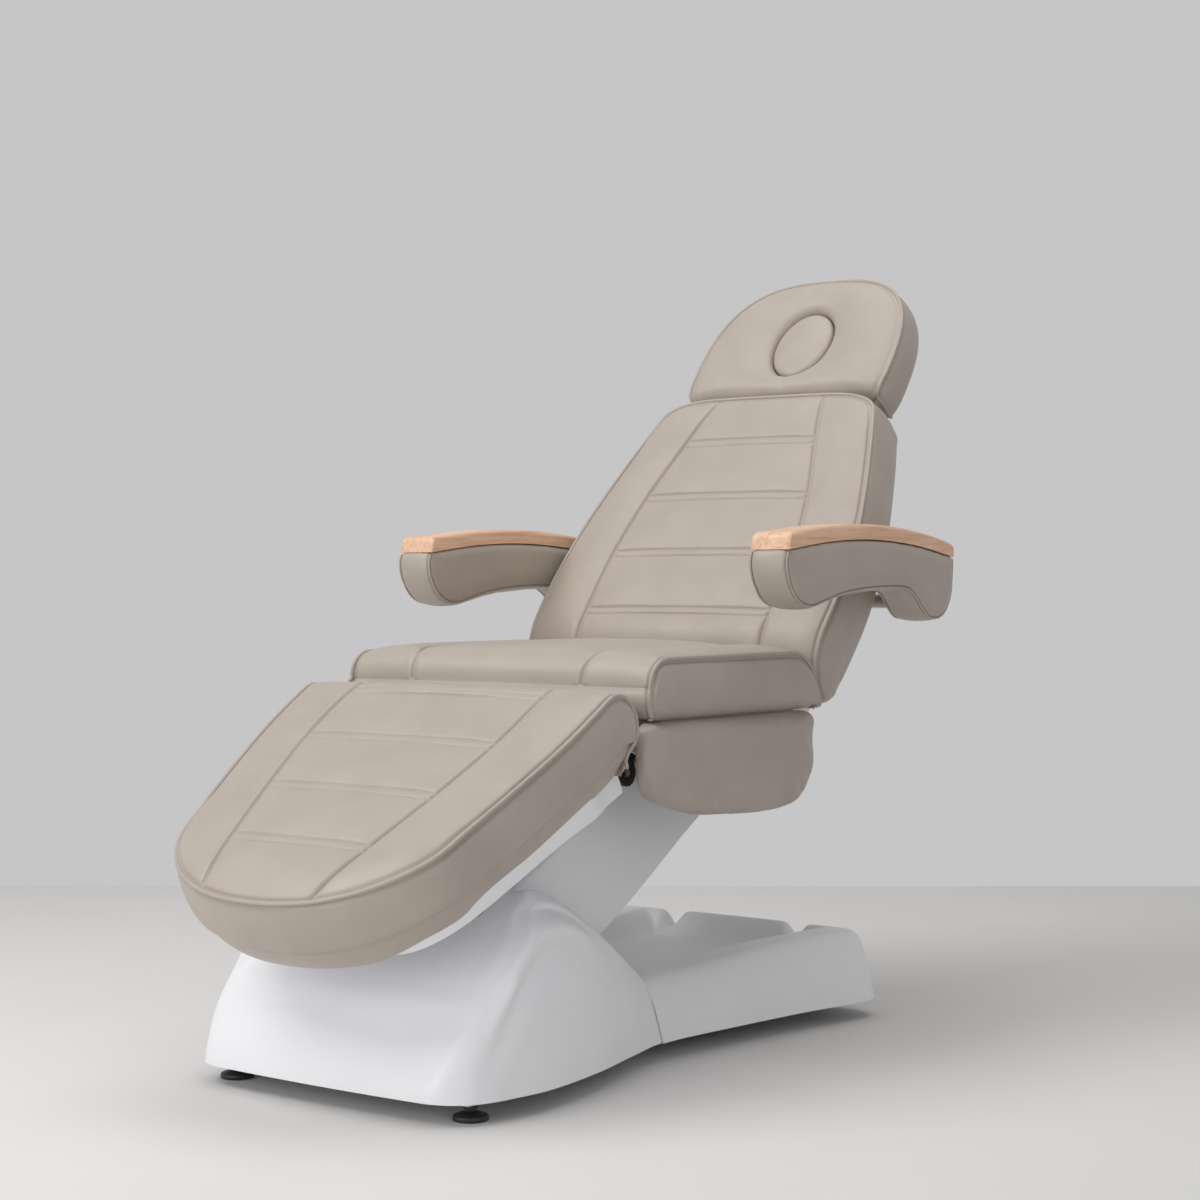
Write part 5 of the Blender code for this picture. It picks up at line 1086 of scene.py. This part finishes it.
def head_rays(sides):
    """Points of the headrest's edge and of its face hole, on rays from the hole's middle."""
    right = [(HEAD_BOTTOM_HALF_WIDTH, HEAD_START, 0.014)]
    for step in range(1, 90):
        along = HEAD_START + (HEAD_END - HEAD_START) * math.sin(math.pi / 2 * step / 90)
        if along > HEAD_START + 0.015:
            right.append((head_half_width(along), along, 0.0))
    left = [(-x, along, radius) for x, along, radius in reversed(right)]
    dense = filleted(right + [(0.0, HEAD_END, 0.0)] + left, 12)
    centre = Vector((0.0, HOLE_ALONG))
    edge = []
    hole = []
    for direction in circle(sides):
        ray = Vector(direction)
        for first, second in zip(dense, dense[1:] + dense[:1]):
            a = Vector(first) - centre
            b = Vector(second) - centre
            start = ray.cross(a)
            stop = ray.cross(b)
            if start <= 0 < stop and (a + (b - a) * (-start / (stop - start))).dot(ray) > 0:
                edge.append(centre + a + (b - a) * (-start / (stop - start)))
                break
        hole.append(centre + Vector((HOLE_HALF_WIDTH * ray.x, HOLE_HALF_HEIGHT * ray.y)))
    return edge, hole


def headrest():
    sides = 168
    edge, hole = head_rays(sides)
    plan = [tuple(point) for point in edge]
    floor = HEAD_FACE - HEAD_THICKNESS
    bottom_roll = 0.026
    hole_roll = 0.012

    def rim_height(y):
        return HEAD_FACE - rolled(y - HEAD_START, bottom_roll)

    rings = []
    for level in reversed(SIDE_LEVELS):
        moved = offset_outline(plan, smooth_through(SOFT_SIDE, level))
        rings.append([(x, y, rim_height(rim[1]) + (floor - rim_height(rim[1])) * level)
                      for (x, y), rim in zip(moved, plan)])
    rim_ring = len(rings)
    for share in (
        0.0, 0.013, 0.026, 0.04, 0.055, 0.08, 0.12, 0.18, 0.26, 0.34, 0.43,
        0.52, 0.61, 0.69, 0.76, 0.83, 0.88, 0.92, 0.95, 0.98, 1.0,
    ):
        ring = []
        for outer, inner in zip(edge, hole):
            point = outer.lerp(inner, share)
            crown = 0.7 * (CROWN + PUFF) * (1 - abs(2 * share - 1) ** 2.4)
            span = (outer - inner).length
            drawn = rolled((1 - share) * span, hole_roll)
            drawn += PIPING_GROOVE * bell(share * span - 0.0055, 0.0025)
            ring.append((point.x, point.y, rim_height(point.y) + crown - drawn))
        rings.append(ring)
    for depth in (0.024, 0.034, 0.050, HEAD_THICKNESS):
        rings.append([(point.x, point.y, HEAD_FACE - depth) for point in hole])
    item = ring_item("headrest_upholstery", rings, "meet")
    held = list(range(rim_ring * sides, (rim_ring + 1) * sides)) + list(range(2 * sides))
    held += range((len(rings) - 6) * sides, len(rings) * sides)
    inflate(item, held, 0.004)
    subdivided(item)

    lower = math.degrees(math.atan2(HOLE_ALONG - HEAD_START, HEAD_BOTTOM_HALF_WIDTH))
    first = round(-lower / 360 * sides)
    last = round((180 + lower) / 360 * sides)
    def at(ring, index):
        return proud_point(item.data, ring * sides + index % sides, PIPING_PROUD)

    path = [at(ring, first) for ring in range(2, rim_ring)]
    path += [at(rim_ring, index) for index in range(first, last + 1)]
    path += [at(ring, last) for ring in range(rim_ring - 1, 1, -1)]
    piping = pipe("headrest_piping", [path])
    finish_piece(item, "headrest", "leather", HEAD, ["headrest_cushion"])
    finish_piece(piping, "headrest", "leather", HEAD)


def face_plug():
    sides = 96
    floor = HEAD_FACE - HEAD_THICKNESS
    crest = PLUG_CREST
    rings = []
    for inset, height in (
        (0.006, floor), (0.0012, floor + 0.004), (0.0008, floor + 0.014), (0.0008, crest - 0.030),
        (0.0008, crest - 0.014), (0.0012, crest - 0.0085), (0.0030, crest - 0.0045),
        (0.0065, crest - 0.0020), (0.0130, crest - 0.0004), (0.0230, crest + 0.0012),
        (0.0340, crest + 0.0022), (0.0440, crest + 0.0028),
    ):
        wide = HOLE_HALF_WIDTH - inset
        high = HOLE_HALF_HEIGHT - inset
        rings.append([(wide * cosine, HOLE_ALONG + high * sine, height) for cosine, sine in circle(sides)])
    item = ring_item("face_plug_upholstery", rings, "open")
    inflate(item, list(range(5 * sides)), 0.002)
    subdivided(item)
    finish_piece(item, "plug", "leather", HEAD, ["face_plug"])


leg_pan()
lift_arm_cover()
headrest()
face_plug()


# Armrests

wood_line = curve_of(ARM_WOOD_LINE)


def wood_outline(inset):
    """Side outline of the beech top, set in at its ends and its upper face."""
    front = ARM_FRONT + 0.001 + 0.35 * inset
    rear = ARM_REAR + 0.001 - 0.35 * inset
    thick = ARM_WOOD - inset
    bottom = [(y, wood_line(y)) for y in (front + (rear - front) * step / 68 for step in range(69))]
    run = spaced((ARM_FRONT + 0.060, ARM_REAR - 0.050), 0.0075)
    top = [(y, wood_line(y) + thick) for y in reversed(run)]
    rear_top = (rear, wood_line(rear) + thick - 0.002, max(0.012 - inset, 0.002))
    front_top = (front + 0.005, wood_line(front + 0.005) + thick + 0.001, max(0.013 - inset, 0.004))
    rear_round = filleted(((*bottom[-1], 0.0), rear_top, (*top[0], 0.0)), 8)
    front_round = filleted(((*top[-1], 0.0), front_top, (*bottom[0], 0.0)), 8)
    return bottom + rear_round[1:-1] + top + front_round[1:-1]


def armrest(side, sign):
    body = "armrest_" + side
    inner, outer = ARM_INNER_X, ARM_INNER_X + ARM_WIDTH
    rounding = 0.0085
    turns = [math.pi / 2 * step / 6 for step in range(7)]
    half = [(rounding * (1 - math.sin(t)), rounding * (1 - math.cos(t))) for t in turns]
    across = [(inset, inner + x) for inset, x in half] + [(inset, outer - x) for inset, x in reversed(half)]
    rings = [[(sign * x, y, z) for y, z in wood_outline(inset)] for inset, x in across]
    wood = ring_item("armrest_beech_" + side, rings)
    creased(wood, 60)
    finish_piece(wood, body, "beech", ARMREST, ["armrest_wood_" + side])

    under = curve_through(ARM_PAD_LINE, 6)
    run = spaced((ARM_FRONT + 0.008, ARM_REAR - 0.008), 0.008)
    outline = under + [(y, wood_line(y) - ARM_PAD_GAP) for y in reversed(run)]
    across = ((0.0040, 0.0), (0.0012, 0.0010), (0.0, 0.0030), (-0.0022, 0.0090), (-0.0040, 0.0190))
    sections = [(inset, inner + x) for inset, x in across] + [(-0.0048, (inner + outer) / 2)]
    sections += [(inset, outer - x) for inset, x in reversed(across)]
    rings = []
    for inset, x in sections:
        moved = [(y, min(z, wood_line(y) - ARM_PAD_GAP)) for y, z in offset_outline(outline, -inset)]
        rings.append([(sign * x, y, z) for y, z in moved])
    pad = ring_item("armrest_upholstery_" + side, rings)
    modified(pad, "REMESH", mode="VOXEL", voxel_size=0.004)
    held = [v.index for v in pad.data.vertices if v.co.z > wood_line(v.co.y) - 0.005]
    inflate(pad, held, 0.0035)
    modified(pad, "SMOOTH", factor=0.5, iterations=3)
    for vertex in pad.data.vertices:
        vertex.co.z = min(vertex.co.z, wood_line(vertex.co.y) - ARM_PAD_GAP)
    subdivided(pad)
    tree = surface_tree(pad)
    paths = []
    for x in (inner + ARM_SEAM_INSET, outer - ARM_SEAM_INSET):
        paths.append([tree.find_nearest(Vector((sign * x, y, z)))[0] for y, z in under])
    draw_in(pad, paths, 0.0026, 0.0034)
    cords = [tube("cord", resampled(path, 0.003), ARM_SEAM_RADIUS, 8) for path in paths]
    seams = joined("armrest_seams_" + side, cords)
    finish_piece(pad, body, "leather", ARMREST, ["armrest_pad_" + side])
    finish_piece(seams, body, "leather", ARMREST)


armrest("left", -1)
armrest("right", 1)


# Base covers and feet

def rounded_wall(distance, reach):
    """Rise from 0 to 1 of a wall that starts steep and rolls over into the top."""
    share = min(max(distance / reach, 0.0), 1.0)
    return 1 - (1 - share) ** 2.3


def lip_window(nominal):
    """1 where the front cover's shoulder has its raised lip, fading to 0 at both ends."""
    return smooth_step(-0.565, -0.480, nominal) * (1 - smooth_step(-0.330, -0.190, nominal))


def front_cover_height(x, nominal, ahead):
    """Height of the front cover: a ramp under the leg rest, between two shoulders with raised lips."""
    across = abs(x)
    edge = smooth_through(COVER_WIDTHS, nominal)
    lip = smooth_through(COVER_LIP_X, nominal)
    crest = smooth_through(COVER_CRESTS, nominal)
    flank = (crest - COVER_BOTTOM) * rounded_wall(edge - across, edge - lip)
    ramp = 0.225 * min(ahead / 0.200, 1.6) ** 0.62
    blend = min(0.011 + 0.067 * (1 - smooth_step(-0.580, -0.500, nominal)), 0.002 + flank + ramp)
    mix = smooth_step(-blend, blend, flank - ramp)
    height = flank + (ramp - flank) * mix - blend * mix * (1 - mix) * 0.25
    lip_rise = 0.005 * bell(across - lip - 0.003, 0.010) * lip_window(nominal)
    return COVER_BOTTOM + max(height, 0.0) + lip_rise


def flank_swell(x, nominal, height):
    """Sideways set of the front cover's flank: a rim along the crest, a hollow under it, then a belly."""
    below = smooth_through(COVER_CRESTS, nominal) - height
    lip = smooth_through(COVER_LIP_X, nominal)
    outside = smooth_step(lip - 0.010, lip + 0.006, abs(x))
    rim = 0.0065 * bell(below - 0.012, 0.011)
    hollow = 0.0190 * bell(below - 0.046, 0.020)
    belly = 0.0060 * bell(below - 0.110, 0.035)
    return math.copysign((rim - hollow + belly) * outside * lip_window(nominal), x)


def rear_cover_height(x, nominal, behind):
    """Height of the rear cover: side ridges round a sunk floor, and a rear lobe between two notches."""
    across = abs(x)
    edge = smooth_through(COVER_WIDTHS, nominal) - across
    ridge = smooth_through(COVER_RIDGES, nominal) - COVER_FLOOR
    side = 1 - smooth_step(0.085, 0.135, edge)
    lobe = 1 - smooth_step(0.048, 0.092, behind)
    notch = bell(across - 0.128, 0.014) * lobe
    top = COVER_FLOOR + ridge * max(side, lobe) * (1 - 0.85 * notch)
    wall = rounded_wall(min(edge, behind), 0.055)
    return COVER_BOTTOM + (top - COVER_BOTTOM) * wall


def front_cover():
    slot_run = COVER_SLOT_FRONT - COVER_FRONT
    run = COVER_SEAM - COVER_FRONT
    ahead_rows = [slot_run * (step / 44) ** 1.9 for step in range(44)]
    rows = ahead_rows + [slot_run + (run - slot_run) * step / 56 for step in range(57)]
    inner = [COVER_SLOT_HALF_WIDTH * step / 14 for step in range(15)]
    shares = [1 - (1 - step / 56) ** 1.45 for step in range(1, 57)]
    grid = []
    for ahead in rows:
        nominal = COVER_FRONT + ahead
        edge = smooth_through(COVER_WIDTHS, nominal)
        outer = [COVER_SLOT_HALF_WIDTH + (edge - COVER_SLOT_HALF_WIDTH) * share for share in shares]
        bow = 0.008 * max(1 - ahead / slot_run, 0.0) ** 1.5
        row = []
        for x in mirrored(inner + outer):
            height = front_cover_height(x, nominal, ahead)
            row.append((x + flank_swell(x, nominal, height), nominal + bow * (x / BEAM_HALF) ** 2, height))
        grid.append(row)
    columns = range(len(shares), len(shares) + 2 * (len(inner) - 1))

    def open_slot(column, row):
        return column in columns and row >= len(ahead_rows)

    moulded_sheet("base_front_moulding", grid, open_slot, "base", BASE, "base_front_cover")


def rear_cover():
    front = COVER_SEAM + 0.0003
    run = COVER_REAR - front
    shares = [1 - (1 - step / 60) ** 1.5 for step in range(61)]
    grid = []
    for step in range(91):
        share = 1 - (1 - step / 90) ** 1.5
        nominal = front + run * share
        edge = smooth_through(COVER_WIDTHS, nominal)
        proud = 0.005 * (1 - smooth_step(0.0, 0.140, nominal - front))
        row = []
        for x in mirrored([edge * across for across in shares]):
            bow = 0.014 * smooth_step(0.5, 1.0, share) * (x / BEAM_HALF) ** 2
            height = rear_cover_height(x, nominal, COVER_REAR - nominal)
            spread = 1 + proud / edge
            row.append((x * spread, nominal - bow, height + proud * smooth_step(0.030, 0.100, height)))
        grid.append(row)
    moulded_sheet("base_rear_moulding", grid, lambda i, j: False, "base", BASE, "base_rear_cover")


def feet():
    profile = (
        (0.0001, 1.0), (0.36, 1.0), (0.42, 0.97), (0.42, 0.70), (0.36, 0.67), (0.30, 0.66), (0.30, 0.54),
        (0.36, 0.52), (0.62, 0.44), (0.90, 0.34), (0.98, 0.29), (1.0, 0.22), (1.0, 0.05), (0.97, 0.0),
        (0.0001, 0.0),
    )
    shape = [(radius * FOOT_RADIUS, height * FOOT_HEIGHT) for radius, height in profile]
    for end in ("front", "rear"):
        for side in ("left", "right"):
            name = "foot_" + end + "_" + side
            node = "levelling_" + name
            low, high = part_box(node)
            foot = turned(name, shape, ((low.x + high.x) / 2, (low.y + high.y) / 2, 0.0))
            finish_piece(foot, name, "black_plastic", None, [node])


front_cover()
rear_cover()
feet()


# Studio

def stage_plane(name, points, colour):
    item = make_item(name, points, [tuple(range(len(points)))])
    surface = Surface(name, colour, 0.85)
    surface.shades(surface.noise(3.0, 2.0), 0.008)
    surface.polish(surface.noise(40.0), 0.03)
    item.data.materials.append(surface.material)


def lamp(name, place, size, power):
    light = bpy.data.lights.new(name, "AREA")
    light.shape = "DISK"
    light.size = size
    light.energy = power
    item = bpy.data.objects.new(name, light)
    item.location = place
    aim = Vector((0.0, 0.0, 0.55)) - Vector(place)
    item.rotation_euler = aim.to_track_quat("-Z", "Y").to_euler()
    bpy.context.scene.collection.objects.link(item)


def studio():
    scene = bpy.context.scene
    turn = Matrix.Rotation(CAMERA_TURN[2], 3, "Z")
    corners = ((-4.5, -4.0, 0), (4.5, -4.0, 0), (4.5, 1.82, 0), (-4.5, 1.82, 0))
    stage_plane("floor", [turn @ Vector(corner) for corner in corners], (0.78, 0.77, 0.76))
    world = bpy.data.worlds.new("studio")
    scene.world = world
    world.use_nodes = True
    nodes, links = world.node_tree.nodes, world.node_tree.links
    light = nodes["Background"]
    light.inputs["Color"].default_value = (1.0, 1.0, 1.0, 1.0)
    light.inputs["Strength"].default_value = 0.31
    seen = nodes.new("ShaderNodeBackground")
    seen.inputs["Color"].default_value = (0.565, 0.560, 0.570, 1.0)
    path = nodes.new("ShaderNodeLightPath")
    direct = path.outputs["Is Camera Ray"]
    for kind in ("Is Transmission Ray", "Is Glossy Ray"):
        either = nodes.new("ShaderNodeMath")
        either.operation = "MAXIMUM"
        links.new(direct, either.inputs[0])
        links.new(path.outputs[kind], either.inputs[1])
        direct = either.outputs[0]
    mix = nodes.new("ShaderNodeMixShader")
    links.new(direct, mix.inputs["Fac"])
    links.new(light.outputs[0], mix.inputs[1])
    links.new(seen.outputs[0], mix.inputs[2])
    links.new(mix.outputs[0], nodes["World Output"].inputs["Surface"])
    lamp("key", (-1.7, -2.3, 3.6), 2.4, 64.0)
    lamp("front", (-0.5, -3.0, 0.9), 1.8, 22.0)
    lamp("top", (0.2, 0.3, 3.6), 3.0, 40.0)
    lamp("fill", (3.2, -2.0, 1.7), 2.6, 17.0)
    camera = bpy.data.cameras.new("camera")
    camera.lens = CAMERA_LENS
    camera.sensor_width = 36.0
    camera_item = bpy.data.objects.new("camera", camera)
    camera_item.location = Vector(CAMERA_PLACE) + Vector((0.0, BASE_Y, 0.0))
    camera_item.rotation_euler = CAMERA_TURN
    scene.collection.objects.link(camera_item)
    scene.camera = camera_item
    scene.view_settings.view_transform = "Standard"


studio()
